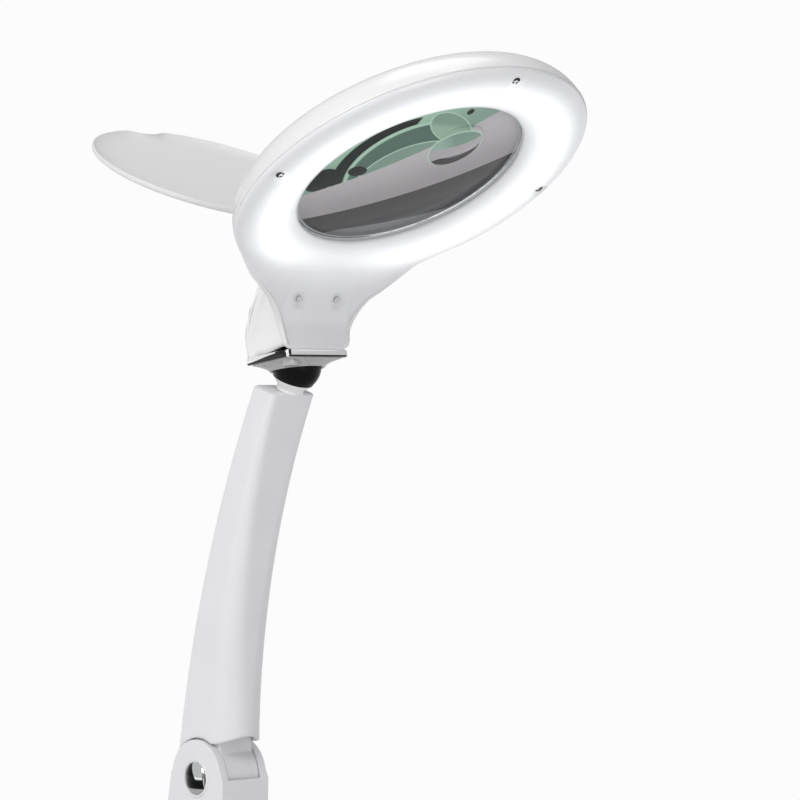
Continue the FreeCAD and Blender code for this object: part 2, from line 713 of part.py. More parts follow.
def ring_outside():
    """Outer form of the lit ring: crowned front, round edge, domed back."""
    opening = size("ring_opening")
    outer = size("ring_outer")
    return ring_turned([
        arc(at(opening, 0), at(55, -3.3), at(64, -4.8)), arc(at(64, -4.8), at(73.5, -3.9), at(79, 0)),
        line(at(79, 0), at(outer, 3)), arc(at(outer, 3), at(79.2, 9.5), at(75, 14)),
        arc(at(75, 14), at(66, 16.8), at(56, 14.4)), line(at(56, 14.4), at(opening, 7.2)),
        line(at(opening, 7.2), at(opening, 0))])


def ring_inside():
    """Space in the ring for the tube and its reflector."""
    return ring_turned([
        arc(at(55.6, -1.5), at(64, -2.9), at(72.5, -2.1)), arc(at(72.5, -2.1), at(76, -0.6), at(77.6, 2)),
        arc(at(77.6, 2), at(77, 8.6), at(73.6, 12.3)), arc(at(73.6, 12.3), at(66, 14.8), at(57.6, 13)),
        line(at(57.6, 13), at(55.6, 10.6)), line(at(55.6, 10.6), at(55.6, -1.5))])


def seam_side():
    """Everything in front of the parting between the light cover and the housing."""
    bend, foot, below = V(0, 54, SEAM_UP), V(0, 90.4, -29.5), V(0, 93, -40)
    edges = [line(V(0, -120, SEAM_UP), bend), arc(bend, V(0, 76.5, -9.5), foot), line(foot, below),
             line(below, V(0, -120, -40)), line(V(0, -120, -40), V(0, -120, SEAM_UP))]
    return extruded(edges, 240)


RING_SCREWS = [V(size("screw_ring") * math.cos(math.radians(angle)),
                 size("screw_ring") * math.sin(math.radians(angle)), 0) for angle in (180, 270, 0)]
RING_SCREW_PLACES = [place(spot.x, spot.y, -3.6) for spot in RING_SCREWS]
NECK_SCREW_PLACES = [place(x, 75.6, -12.9, -35.5) for x in (-10.6, 10.6)]
SCREW_PLACES = RING_SCREW_PLACES + NECK_SCREW_PLACES


def placed(shape, where):
    result = shape.copy()
    result.Placement = where
    return result


head_outside = ring_outside().fuse(neck_loft(0, False))
head_inside = ring_inside().fuse(neck_loft(1.7, True))
seam = seam_side()


def light_cover():
    """Front half of the case: opal cover over the ring and down the front of the neck."""
    shell = head_outside.cut(head_inside).common(seam)
    front = head_outside.common(seam)
    for where in SCREW_PLACES:
        boss = placed(Part.makeCylinder(3.9, 5.4, V(0, 0, -0.3)), where).common(front)
        shell = shell.fuse(boss)
    for where in SCREW_PLACES:
        shell = shell.cut(placed(Part.makeCylinder(2.7, 8, V(0, 0, -6.2)), where))
        shell = shell.cut(placed(Part.makeCylinder(1.6, 30), where))
    shell = shell.cut(Part.makeCylinder(54, 2.5, V(0, 0, 0.6)))
    return shell


def housing():
    """Back half of the case: ring, neck hump, screw bosses, lens seat and hinge lugs."""
    shell = head_outside.cut(head_inside).cut(seam)
    for where in SCREW_PLACES:
        shell = shell.fuse(placed(Part.makeCylinder(2.9, 34, V(0, 0, 5.3)), where).common(head_outside).cut(seam))
    for where in SCREW_PLACES:
        shell = shell.cut(placed(Part.makeCylinder(1.35, 15.5), where))
    shell = shell.cut(Part.makeCylinder(size("lens_radius") + 0.2, 2.8, V(0, 0, 2.9)))
    axis_spot = V(0, size("hinge_back"), size("hinge_up"))
    for x in (-17, 17):
        lug = rod(3.2, 5, axis_spot + V(x, 0, 0), X_AXIS)
        foot = Part.makeBox(5, 6.4, 8, V(x - 2.5, size("hinge_back") - 3.2, size("hinge_up") - 8))
        shell = shell.fuse(lug.fuse(foot.cut(head_inside)))
    return shell.cut(rod(size("hinge_pin") + 0.02, 60, axis_spot, X_AXIS))


shaped(light_cover(), "light_cover", HEAD)
shaped(housing(), "head_housing", HEAD)


def screw_set():
    """Dark pan-head screws that hold the light cover: three round the ring, two on the neck."""
    one = Part.makeCylinder(2.4, 1.5, V(0, 0, 0.2)).fuse(Part.makeCylinder(1.3, 13.5, V(0, 0, 1.7)))
    slot_one = Part.makeBox(3.2, 0.7, 0.6, V(-1.6, -0.35, 0))
    one = one.cut(slot_one).cut(placed(slot_one, place(lean=90, axis=Z_AXIS)))
    return Part.makeCompound([placed(one, where) for where in SCREW_PLACES])


shaped(screw_set(), "cover_screws", HEAD)


def lens_shape():
    """Biconvex glass with a flat edge and a round pocket for the strong insert."""
    radius = size("lens_radius")
    curve = size("lens_curve")
    sag = curve - math.sqrt(curve ** 2 - radius ** 2)
    front, rear = size("lens_front"), size("lens_front") + size("lens_edge")
    edges = [line(at(0, front - sag), at(0, rear + sag)),
             arc(at(0, rear + sag), at(radius / 2, rear + sag * 0.752), at(radius, rear)),
             line(at(radius, rear), at(radius, front)),
             arc(at(radius, front), at(radius / 2, front - sag * 0.752), at(0, front - sag))]
    glass = ring_turned(edges)
    return glass.cut(Part.makeCylinder(size("insert_radius") + 0.05, 10, V(7, -24, -7.5)))


def insert_shape():
    """Small strong lens set in the pocket, bulging towards the user."""
    radius = size("insert_radius")
    curve = size("insert_curve")
    plug = Part.makeCylinder(radius, 8, V(7, -24, -5.55))
    return plug.common(Part.makeSphere(curve, V(7, -24, curve - 2.4)))


shaped(lens_shape(), "lens", HEAD)
shaped(insert_shape(), "lens_insert", HEAD)
keep(washer_body("53.8", "ring_opening + 0.3", "1.9", HEAD.multiply(place(0, 0, 0.8))), "lens_retaining_ring")
keep(washer_body("68.4", "57.8", "0.8", HEAD.multiply(place(0, 0, 11.6))), "reflector")

TUBE_UP = 5.6


def bent_tube(inner, outer, start, sweep):
    """Part of a ring of round section about the lens axis, from a start angle over a sweep."""
    ring = size("tube_ring")
    circle = Part.Face(Part.Wire([Part.makeCircle(outer, at(ring, TUBE_UP), V(0, 1, 0))]))
    piece = circle.revolve(V(), Z_AXIS, sweep)
    if inner:
        bore = Part.Face(Part.Wire([Part.makeCircle(inner, at(ring, TUBE_UP), V(0, 1, 0))]))
        piece = piece.cut(bore.revolve(V(), Z_AXIS, sweep))
    piece.rotate(V(), Z_AXIS, start)
    return piece


gap = size("tube_gap")
shaped(bent_tube(0, size("tube_radius"), 90 + gap, 360 - 2 * gap), "ring_tube", HEAD)
shaped(bent_tube(0, size("tube_radius") + 0.3, 90 - gap + 0.4, 2 * gap - 0.8), "tube_connector", HEAD)


def tube_clips():
    """Spring clips from the reflector round the back of the tube."""
    clips = []
    for angle in (45, 225, 315):
        ring = bent_tube(size("tube_radius") + 0.06, size("tube_radius") + 0.45, angle - 3, 6)
        clips.append(ring.common(Part.makeBox(200, 200, 20, V(-100, -100, 3.4))))
    return Part.makeCompound(clips)


shaped(tube_clips(), "tube_clips", HEAD)


def driver_board():
    """Electronic ballast in the neck: a board with a choke, a capacitor and a terminal block."""
    board = Part.makeBox(22, 13, 1.4, V(-11, -6.5, 0))
    choke = Part.makeBox(8, 8, 5, V(-9, -4, 1.4))
    capacitor = Part.makeCylinder(2.4, 5.5, V(3, 1, 1.4))
    terminal = Part.makeBox(3.5, 9, 4, V(6.5, -4.5, 1.4))
    return board.fuse(choke).fuse(capacitor).fuse(terminal)


shaped(driver_board(), "driver_board", HEAD.multiply(place(0, 94, -7.5, -42)))

# ================================================================ lens cover
keep(cylinder("hinge_pin", "39", HINGE_PLACE.multiply(place(-19.5)).multiply(LYING)), "cover_hinge_pin")


def lens_cover():
    """Shallow dish that lies over the lens when shut, with a rim, a thumb notch and a hinge tongue."""
    radius = size("cover_radius")
    wall = size("cover_wall")
    centre = V(0, -size("hinge_back"), 0)
    top = 2.6
    crown = 1.6
    dome_radius = (radius ** 2 + crown ** 2) / (2 * crown)
    outer = Part.makeCylinder(radius, size("cover_depth"), centre + V(0, 0, top - size("cover_depth")))
    dome = Part.makeSphere(dome_radius, centre + V(0, 0, top + crown - dome_radius))
    tall = Part.makeCylinder(radius, size("cover_depth") + crown, centre + V(0, 0, top - size("cover_depth")))
    outer = tall.common(dome).fuse(outer.common(dome))
    inner_dome = Part.makeSphere(dome_radius, centre + V(0, 0, top + crown - wall - dome_radius))
    inner = Part.makeCylinder(radius - wall, 20, centre + V(0, 0, top - size("cover_depth") - 10))
    dish = outer.cut(inner.common(inner_dome))
    notch = Part.makeCylinder(9, 20, centre + V(0, -radius - 5.5, -10))
    tongue = Part.makeBox(22, 14, 2.2, V(-11, -14, 0.3))
    barrel = rod(2.9, 28, V(), X_AXIS)
    dish = dish.cut(notch).fuse(tongue.fuse(barrel))
    return dish.cut(rod(size("hinge_pin") + size("pin_play"), 60, V(), X_AXIS))


shaped(lens_cover(), "lens_cover", COVER)

# ---------------------------------------------------------------- checks, then the files
doc.recompute()
for obj in doc.Objects:
    faults = [state for state in obj.State if state in ("Invalid", "Error")]
    if faults:
        raise RuntimeError("%s (%s) is %s" % (obj.Name, obj.Label, faults))

os.makedirs("parts", exist_ok=True)
for obj in subparts:
    shape = obj.Shape
    if shape.isNull() or not shape.isValid() or not shape.Solids:
        raise RuntimeError("sub-part %s has no valid solid" % obj.Label)
    shape.exportStep("parts/%s.step" % obj.Label)
    print("%-22s solids %d  volume %.1f" % (obj.Label, len(shape.Solids), shape.Volume))
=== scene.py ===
import json
import math
import bmesh
import bpy
import numpy as np
from mathutils import Matrix, Vector


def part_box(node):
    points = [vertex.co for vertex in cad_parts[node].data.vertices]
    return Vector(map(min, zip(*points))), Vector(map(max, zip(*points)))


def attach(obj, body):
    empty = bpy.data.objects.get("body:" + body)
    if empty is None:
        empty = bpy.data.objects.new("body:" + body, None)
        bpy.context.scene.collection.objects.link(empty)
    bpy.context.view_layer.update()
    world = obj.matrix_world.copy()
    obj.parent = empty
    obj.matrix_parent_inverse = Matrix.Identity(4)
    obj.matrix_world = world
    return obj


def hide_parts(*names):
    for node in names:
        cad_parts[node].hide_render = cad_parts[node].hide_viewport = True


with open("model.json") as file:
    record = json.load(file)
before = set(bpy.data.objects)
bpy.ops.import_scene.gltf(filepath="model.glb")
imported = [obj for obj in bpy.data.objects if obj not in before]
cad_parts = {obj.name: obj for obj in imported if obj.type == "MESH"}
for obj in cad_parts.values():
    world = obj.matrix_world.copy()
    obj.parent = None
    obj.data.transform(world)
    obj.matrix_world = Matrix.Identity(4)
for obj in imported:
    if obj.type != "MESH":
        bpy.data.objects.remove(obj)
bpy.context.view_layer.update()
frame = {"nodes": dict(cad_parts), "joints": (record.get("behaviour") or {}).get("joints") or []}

node = frame["nodes"]
scene = bpy.context.scene

# ---------------------------------------------------------------- camera, floor and light
# A white table-top setting: a wide pale floor, a white surround, and three soft boxes.
# The key box stands to the left and above, so right-hand faces fall into a mild shade.
elbow = sum(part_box("elbow_pin"), Vector()) / 2

lens_view = bpy.data.cameras.new("product_camera")
lens_view.lens = 162.0
lens_view.clip_end = 100.0
camera = bpy.data.objects.new("product_camera", lens_view)
camera.location = elbow + Vector((-1.00075, -1.2344, 0.16594))
camera.rotation_euler = (math.radians(90), 0, math.radians(-41.908))
scene.collection.objects.link(camera)
scene.camera = camera
scene.view_settings.view_transform = "Standard"


def soft_box(name, spot, aim, across, strength):
    """Square area light facing a point; strength in watts."""
    data = bpy.data.lights.new(name, "AREA")
    data.shape = "SQUARE"
    data.size = across
    data.energy = strength
    lamp = bpy.data.objects.new(name, data)
    lamp.location = spot
    lamp.rotation_euler = (Vector(aim) - Vector(spot)).to_track_quat("-Z", "Y").to_euler()
    scene.collection.objects.link(lamp)


soft_box("key_box", (-1.6, -0.5, 1.5), (0, 0, 0.35), 1.0, 17.2)
soft_box("top_box", (0.3, 0.2, 2.2), (0, 0, 0.3), 1.2, 8.5)
soft_box("low_box", (-0.4, -1.7, 0.25), (0, 0, 0.35), 0.7, 2.5)


class Value:
    """A number in a shader: arithmetic on it adds Math nodes to the same finish."""

    def __init__(self, finish, socket):
        self.finish = finish
        self.socket = socket

    def maths(self, operation, *others):
        inputs = dict(enumerate((self,) + others))
        return self.finish.add("Math", {"operation": operation}, inputs)

    def __add__(self, other):
        return self.maths("ADD", other)

    def __sub__(self, other):
        return self.maths("SUBTRACT", other)

    def __mul__(self, other):
        return self.maths("MULTIPLY", other)

    def __truediv__(self, other):
        return self.maths("DIVIDE", other)

    def __pow__(self, other):
        return self.maths("POWER", other)

    def __rsub__(self, other):
        return self * -1 + other

    __radd__ = __add__
    __rmul__ = __mul__

    def step(self, low, high):
        """0 below low, 1 above high, smooth between."""
        return self.finish.add("MapRange", {"interpolation_type": "SMOOTHSTEP"},
                               {"Value": self, "From Min": low, "From Max": high}, "Result")

    def bump(self, centre, spread):
        """1 at centre, falling smoothly to 0 a spread away on either side."""
        return 1 - (self - centre).maths("ABSOLUTE").step(0, spread)


class Nodes:
    """A node tree being made, for a material or the surround."""

    def __init__(self, tree):
        self.tree = tree

    def add(self, kind, settings, inputs, output=0):
        """Any node: its type, its settings, then the values or links of its sockets."""
        made = self.tree.nodes.new("ShaderNode" + kind)
        for word, choice in settings.items():
            setattr(made, word, choice)
        for key, amount in inputs.items():
            self.join(made.inputs[key], amount)
        return Value(self, made.outputs[output])

    def join(self, socket, amount):
        if isinstance(amount, Value):
            self.tree.links.new(amount.socket, socket)
        elif socket.type == "RGBA" and len(amount) == 3:
            socket.default_value = (*amount, 1)
        else:
            socket.default_value = amount

    def mix(self, factor, first, second):
        return self.add("Mix", {"data_type": "RGBA"}, {0: factor, 6: first, 7: second}, 2)

    def along(self, place, direction):
        """How far a place lies along a direction; the direction's length is the scale."""
        return self.add("VectorMath", {"operation": "DOT_PRODUCT"}, {0: place, 1: direction}, 1)


class Finish(Nodes):
    """A material being made: one Principled shader and what feeds it."""

    def __init__(self, name, colour, roughness, **sockets):
        self.material = bpy.data.materials.new(name)
        self.material.use_nodes = True
        super().__init__(self.material.node_tree)
        self.shader = self.tree.nodes["Principled BSDF"]
        self.feed({"Base Color": colour, "Roughness": roughness})
        self.feed({word.replace("_", " "): amount for word, amount in sockets.items()})

    def feed(self, inputs):
        for key, amount in inputs.items():
            self.join(self.shader.inputs[key], amount)

    def spot(self):
        """Place on the piece, in metres of the shared frame."""
        return self.add("TexCoord", {}, {}, "Object")

    def spot_from(self, origin):
        """Place on the piece, counted from an origin."""
        return self.add("VectorMath", {"operation": "SUBTRACT"}, {0: self.spot(), 1: origin})

    def noise(self, scale, detail=3.0, rough=0.5):
        return self.add("TexNoise", {}, {"Vector": self.spot(), "Scale": scale, "Detail": detail,
                                         "Roughness": rough}, 0)

    def output(self, shader):
        """Sends a shader other than the Principled one to the surface."""
        self.join(self.tree.nodes["Material Output"].inputs["Surface"], shader)

    def relief(self, height, depth):
        """Bump of a height from 0 to 1, depth in metres, into the shader's normal."""
        made = self.add("Bump", {}, {"Height": height, "Distance": depth, "Strength": 1.0})
        self.feed({"Normal": made})

    def moulded(self, colour, shade, grain, depth, base_roughness, spread):
        """Moulded plastic: faint flow clouds in the colour, and a fine tool texture."""
        clouds = self.noise(22, 2).step(0.3, 0.7)
        fine = self.noise(grain, 2, 0.6)
        specks = self.noise(grain * 0.3, 3, 0.7)
        self.feed({"Base Color": self.mix(clouds * 0.5 + specks * 0.3, colour, shade),
                   "Roughness": specks * spread + (base_roughness - spread / 2)})
        self.relief(fine * 0.6 + specks * 0.4, depth)


surround = bpy.data.worlds.new("white_surround")
surround.use_nodes = True
scene.world = surround
sky = Nodes(surround.node_tree)
heading = sky.add("TexCoord", {}, {}, "Generated")
dark_side = sky.along(heading, (0.80, -0.55, 0.0))
height = sky.along(heading, (0, 0, 1.0))
wall = sky.mix(dark_side.step(0.1, 0.9), (0.50, 0.50, 0.51), (0.26, 0.26, 0.28))
wall = sky.mix(height.bump(-0.05, 0.22) * dark_side.step(0.2, 0.6), wall, (0.05, 0.05, 0.055))
seen = sky.add("LightPath", {}, {}, "Is Camera Ray")
PAPER_GLOW = (0.972, 0.972, 0.974)
sky.join(sky.tree.nodes["Background"].inputs["Color"], sky.mix(seen, wall, PAPER_GLOW))

floor_disc = bmesh.new()
bmesh.ops.create_circle(floor_disc, cap_ends=True, segments=96, radius=40)
floor_mesh = bpy.data.meshes.new("floor")
floor_disc.to_mesh(floor_mesh)
floor = bpy.data.objects.new("floor", floor_mesh)
scene.collection.objects.link(floor)
paper = Finish("paper_sweep", (0.86, 0.86, 0.865), 0.9, Specular_IOR_Level=0.1)
away = paper.add("VectorMath", {"operation": "LENGTH"}, {0: paper.spot()}, 1)
glow = paper.add("Emission", {}, {"Color": PAPER_GLOW, "Strength": 1.0})
paper_shader = Value(paper, paper.shader.outputs[0])
paper.output(paper.add("MixShader", {}, {0: away.step(0.45, 1.5), 1: paper_shader, 2: glow}))
floor_mesh.materials.append(paper.material)

# ---------------------------------------------------------------- light cover and head housing
# The head is two mouldings that meet on a parting line round the rim: an opal light cover in
# front and a glossy white housing behind. Both are one ring-shaped skin drawn through cross
# sections, split at the parting, and given a wall.
normal = Vector((0, math.sin(math.radians(31.64)), math.cos(math.radians(31.64))))
down_neck = Vector((0, normal.z, -normal.y))
head_centre = sum(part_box("lens_retaining_ring"), Vector()) / 2 - normal * 0.00175
HEAD = Matrix.Translation(head_centre) @ Matrix((
    (0.001, 0, 0, 0), (0, down_neck.y * 0.001, normal.y * 0.001, 0),
    (0, down_neck.z * 0.001, normal.z * 0.001, 0), (0, 0, 0, 1)))


def spline(knots, values, wanted):
    """Smooth curve through values at knots, along the first axis of an array."""
    knots, values, wanted = (np.asarray(numbers, float) for numbers in (knots, values, wanted))
    gaps = np.diff(knots)
    slopes = np.diff(values, axis=0) / gaps.reshape(-1, *[1] * (values.ndim - 1))
    tangents = np.empty_like(values)
    tangents[0], tangents[-1] = slopes[0], slopes[-1]
    left, right = gaps[:-1], gaps[1:]
    weight = (right / (left + right)).reshape(-1, *[1] * (values.ndim - 1))
    tangents[1:-1] = slopes[:-1] * weight + slopes[1:] * (1 - weight)
    index = np.clip(np.searchsorted(knots, wanted, side="right") - 1, 0, len(gaps) - 1)
    width = gaps[index]
    part = ((wanted - knots[index]) / width).reshape(-1, *[1] * (values.ndim - 1))
    width = width.reshape(part.shape)
    return ((2 * part**3 - 3 * part**2 + 1) * values[index]
            + (part**3 - 2 * part**2 + part) * width * tangents[index]
            + (3 * part**2 - 2 * part**3) * values[index + 1]
            + (part**3 - part**2) * width * tangents[index + 1])


def skin(name, grid, place, material, body, gone=None):
    """Quad skin from a grid of points whose rows are closed rings; gone marks quads to leave out."""
    rows, columns = grid.shape[:2]
    cells = [(i, j) for i in range(rows - 1) for j in range(columns) if gone is None or not gone[i, j]]
    faces = [(i * columns + j, i * columns + (j + 1) % columns, (i + 1) * columns + (j + 1) % columns,
              (i + 1) * columns + j) for i, j in cells]
    mesh = bpy.data.meshes.new(name)
    mesh.from_pydata([tuple(place @ Vector(point)) for point in grid.reshape(-1, 3)], [], faces)
    solid = bmesh.new()
    solid.from_mesh(mesh)
    bmesh.ops.remove_doubles(solid, verts=solid.verts, dist=1e-6)
    bmesh.ops.delete(solid, geom=[v for v in solid.verts if not v.link_faces], context="VERTS")
    bmesh.ops.recalc_face_normals(solid, faces=solid.faces)
    solid.to_mesh(mesh)
    solid.free()
    mesh.shade_smooth()
    piece = bpy.data.objects.new(name, mesh)
    scene.collection.objects.link(piece)
    mesh.materials.append(material)
    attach(piece, body)
    return piece


def walled(piece, thickness):
    """Gives a skin a wall, inwards from where it is."""
    wall_step = piece.modifiers.new("wall", "SOLIDIFY")
    wall_step.thickness = thickness
    wall_step.offset = -1.0
    wall_step.use_even_offset = False


RIM_FRONT = [(50.2, 1.4), (50.0, 0.2), (51.2, -1.35), (53.6, -2.75), (57, -3.9), (64, -4.8), (70.4, -4.6),
             (75.2, -3.4), (77.6, -1.9), (78.2, -0.75)]
RIM_BACK = [(78.3, -0.4), (77.9, 1.5), (77.2, 4.0), (75.8, 7.0), (73.6, 10), (72.9, 10.7), (72.0, 11.5),
            (71.0, 12.3), (69.8, 13.1), (68.4, 13.8), (66, 14.4), (61, 14.6), (56, 13.4), (51.6, 9.8),
            (50.2, 7.2), (50.1, 5.4)]
DROP = np.array([0, 0, 0, 0.004, 0.009, 0.087, 0.288, 0.585, 0.867, 1.0])
# parting line on the neck and, for the same column, the middle and rear of the neck's side (x, y, z)
NECK = [
    ((57.5, 52.2, -0.8), (57, 51.8, 3.0), (54.0, 50.0, 10), 43.0),
    ((48.5, 60.9, -2.0), (47.6, 60.2, 3.0), (45.0, 57.6, 9.6), 49.5),
    ((42, 67.0, -5.4), (40.5, 66.0, 0.5), (37.5, 63.5, 8.2), 54.5),
    ((34.5, 71.8, -9.2), (32.5, 71.5, -3.0), (29.5, 69.5, 6.4), 59.3),
    ((27, 76.8, -12.5), (24.5, 78.5, -6.2), (22.0, 77.5, 3.4), 63.8),
    ((22, 81, -17.2), (20.6, 84.8, -9.5), (18.6, 87.0, 0.2), 67.8),
    ((19, 84.5, -22), (18.6, 93.2, -15.5), (17.4, 101.0, -4.9), 71.2),
    ((17.3, 87.0, -28.0), (17.3, 100.5, -23.9), (16.9, 112.4, -18.7), 74.2),
    ((14.6, 87.8, -29.3), (14.6, 100.8, -23.8), (14.4, 113.7, -18.2), 77.0),
    ((7.5, 87.8, -29.3), (7.5, 100.8, -23.8), (7.5, 113.7, -18.2), 83.4),
]
HUMP = np.array([(113.7, -18.2), (113.0, -14.0), (110.8, -10.4), (107.2, -6.7), (100.4, -2.3), (91.5, 1.8),
                 (79.5, 8.2), (66.0, 14.4)])
HUMP_RUN = np.concatenate([[0], np.cumsum(np.linalg.norm(np.diff(HUMP, axis=0), axis=1))])


def ring_point(radius, angle, up):
    return (radius * math.cos(math.radians(angle)), radius * math.sin(math.radians(angle)), up)


def ring_column(angle):
    return ([ring_point(radius, angle, up) for radius, up in RIM_FRONT]
            + [ring_point(radius, angle, up) for radius, up in RIM_BACK])


def neck_column(front, middle, rear, angle, share):
    """Column of the net that runs down the neck; share is 1 on its centre line, 0 at the ring."""
    profile = np.array(RIM_FRONT, float)
    parts = np.clip((profile[:, 0] - 50) / 28.2, 0, None)
    start = np.array(ring_point(50, angle, 0))
    points = [ring_point(radius, angle, up) for radius, up in RIM_FRONT[:2]]
    for part, (radius, up), drop in list(zip(parts, profile, DROP))[2:]:
        flat = start + (np.array(front) - start) * part
        points.append((flat[0], flat[1], up + drop * (front[2] + 0.75)))
    front, middle, rear = (np.array(point, float) for point in (front, middle, rear))
    points += [front + (0, 0, 0.3 if share < 0.5 else 0.0), (front + middle) / 2, middle,
               (middle + rear) / 2, rear]
    crown = np.array(ring_point(66, angle, 14.4))
    begin = np.interp(-rear[1], -HUMP[:, 0], HUMP_RUN) if rear[1] < 112 else 0.0
    for index in range(5):
        part = (index + 1) / 6
        run = begin + (HUMP_RUN[-1] - begin) * part
        humped = np.array([np.interp(run, HUMP_RUN, HUMP[:, axis]) for axis in (0, 1)])
        humped += (rear[1:] - [np.interp(begin, HUMP_RUN, HUMP[:, axis]) for axis in (0, 1)]) * (1 - part)
        radius, up = RIM_BACK[5 + index]
        plain = ring_point(radius, math.degrees(math.atan2(rear[1], rear[0])) * (1 - part) + angle * part, up)
        along = rear[0] + (crown[0] - rear[0]) * part
        points.append(((1 - share) * plain[0] + share * along, (1 - share) * plain[1] + share * humped[0],
                       (1 - share) * plain[2] + share * humped[1]))
    over_the_back = [ring_point(radius, angle, up) for radius, up in RIM_BACK[10:]]
    return [tuple(point) for point in points] + over_the_back


SHARES = [0.0, 0.05, 0.2, 0.5, 0.8, 1.0, 1.0, 1.0, 1.0, 1.0]
half = [ring_column(angle) for angle in (-90, -65, -40, -15, 5, 20, 32)]
half += [neck_column(*column, share) for column, share in zip(NECK, SHARES)]
centre = neck_column((0, 87.8, -29.3), (0, 100.8, -23.8), (0, 113.7, -18.2), 90, 1.0)
half = np.array(half)
mirror = half[::-1] * (-1, 1, 1)
loop = np.concatenate([half, [centre], mirror[:-1]])
loop = np.concatenate([loop[-3:], loop, loop[:3]])
gauge = np.linalg.norm(np.diff(loop[:, [6, 10, 12, 20]], axis=0), axis=2).mean(1)
around = np.concatenate([[0], np.cumsum(gauge)])
start, stop = around[3], around[-3]
turned = np.degrees(np.unwrap(np.arctan2(loop[:, 5, 1], loop[:, 5, 0])))
screw_spots = [np.interp(angle, turned, around) for angle in (0, 180)] + [around[3] + 6.01]
dense = np.unique(np.round(np.concatenate(
    [np.linspace(a, b, max(3, int((b - a) / 2.0) + 1)) for a, b in zip(around[3:-3], around[4:-2])]
    + [np.arange(spot - 6, spot + 6, 0.75) for spot in screw_spots]), 4))
dense = dense[dense < stop - 1e-3]
net = spline(around, loop, dense)
steps = np.concatenate([[0], np.cumsum(np.linalg.norm(np.diff(loop[3], axis=0), axis=1) + 0.15)])
front_steps = np.unique(np.concatenate([np.linspace(a, b, max(3, int((b - a) / 0.8) + 1))
                                        for a, b in zip(steps[:9], steps[1:10])]))
back_steps = np.unique(np.concatenate([np.linspace(a, b, max(4, int((b - a) / 0.9) + 1))
                                       for a, b in zip(steps[10:-1], steps[11:])]))
front_skin = spline(steps[:10], net[:, :10].transpose(1, 0, 2), front_steps)
back_skin = spline(steps[10:], net[:, 10:].transpose(1, 0, 2), back_steps)

SCREWS = [Vector((72, 0, -4.2)), Vector((-72, 0, -4.2)), Vector((0, -72, -4.2)),
          Vector((10.6, 75.6, -12.9)), Vector((-10.6, 75.6, -12.9))]
NECK_LEAN = 35.5
for screw in SCREWS:
    apart = np.linalg.norm(front_skin - np.array(screw), axis=2)
    sink = np.clip((4.6 - apart) / 2.2, 0, 1)
    sink = sink * sink * (3 - 2 * sink)
    lean = math.radians(NECK_LEAN) if screw.y > 50 else 0
    front_skin += sink[..., None] * np.array((0, 1.3 * math.sin(lean), 1.3 * math.cos(lean)))

opal = Finish("opal_light_cover", (0.9, 0.9, 0.91), 0.24, Coat_Weight=0.4, Coat_Roughness=0.08,
              Emission_Strength=1.0)
from_centre = opal.spot_from(head_centre)
side_x = opal.along(from_centre, (1000, 0, 0))
side_y = opal.along(from_centre, down_neck * 1000)
reach = (side_x * side_x + side_y * side_y).maths("SQRT")
# Painted glow: an emission band over the tube's ring, weaker towards the neck gap, stands in for the tube's
# light shining through the opal.
glow_band = reach.bump(62.0, 15.5)
away_from_gap = 1 - side_y.step(48, 66)
milky = opal.noise(30, 2).step(0.25, 0.75)
painted_glow = glow_band * (0.25 + 0.75 * away_from_gap)
opal.feed({"Emission Color": opal.mix(painted_glow, (0.02, 0.02, 0.025), (0.62, 0.64, 0.66)),
           "Base Color": opal.mix(milky * 0.5, (0.79, 0.79, 0.795), (0.74, 0.75, 0.765)),
           "Roughness": opal.noise(260, 3) * 0.08 + 0.2})
opal.relief(opal.noise(900, 2, 0.6), 0.00002)

light_cover = skin("opal_cover", front_skin, HEAD, opal.material, "head")
walled(light_cover, 0.0016)
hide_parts("light_cover")

gloss = Finish("housing_gloss", (0.83, 0.82, 0.81), 0.2, Coat_Weight=0.35, Coat_Roughness=0.06)
gloss.moulded((0.84, 0.83, 0.82), (0.79, 0.785, 0.78), 1100, 0.000015, 0.24, 0.08)
middle_of_neck = np.abs(back_skin[0, :, 0])
open_end = np.zeros(back_skin.shape[:2], bool)
plate_rows = np.searchsorted(back_steps, steps[14] - 1e-6)
open_end[:plate_rows, :] = ((middle_of_neck < 17.2) & (back_skin[0, :, 1] > 80))[None, :]
housing = skin("head_shell", back_skin, HEAD, gloss.material, "head", gone=open_end)
walled(housing, 0.0017)
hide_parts("head_housing")

# ---------------------------------------------------------------- screws, lens and what is under the opal
# Five cross-head screws hold the light cover, dark on the ring and plated on the neck. The lens is
# a biconvex glass with painted reflections and a strong insert; the lit parts sit behind the opal.

def dress(finish, *names):
    """Gives CAD nodes a finish."""
    for name in names:
        slots = node[name].data.materials
        slots.clear()
        slots.append(finish.material)


blackened = Finish("blackened_steel", (0.03, 0.03, 0.032), 0.38, Metallic=0.6)
blackened.feed({"Roughness": blackened.noise(900, 3) * 0.25 + 0.3})
blackened.relief(blackened.noise(2500, 2), 0.00002)


def disc_grid(profile, turns=144, x=0.0, y=0.0):
    """Rings of points about an axis through (x, y), one for each (radius, height) of a profile."""
    turn = np.arange(turns) * 2 * math.pi / turns
    return np.array([np.stack([x + radius * np.cos(turn), y + radius * np.sin(turn),
                               np.full(turns, float(up))], axis=1) for radius, up in profile])


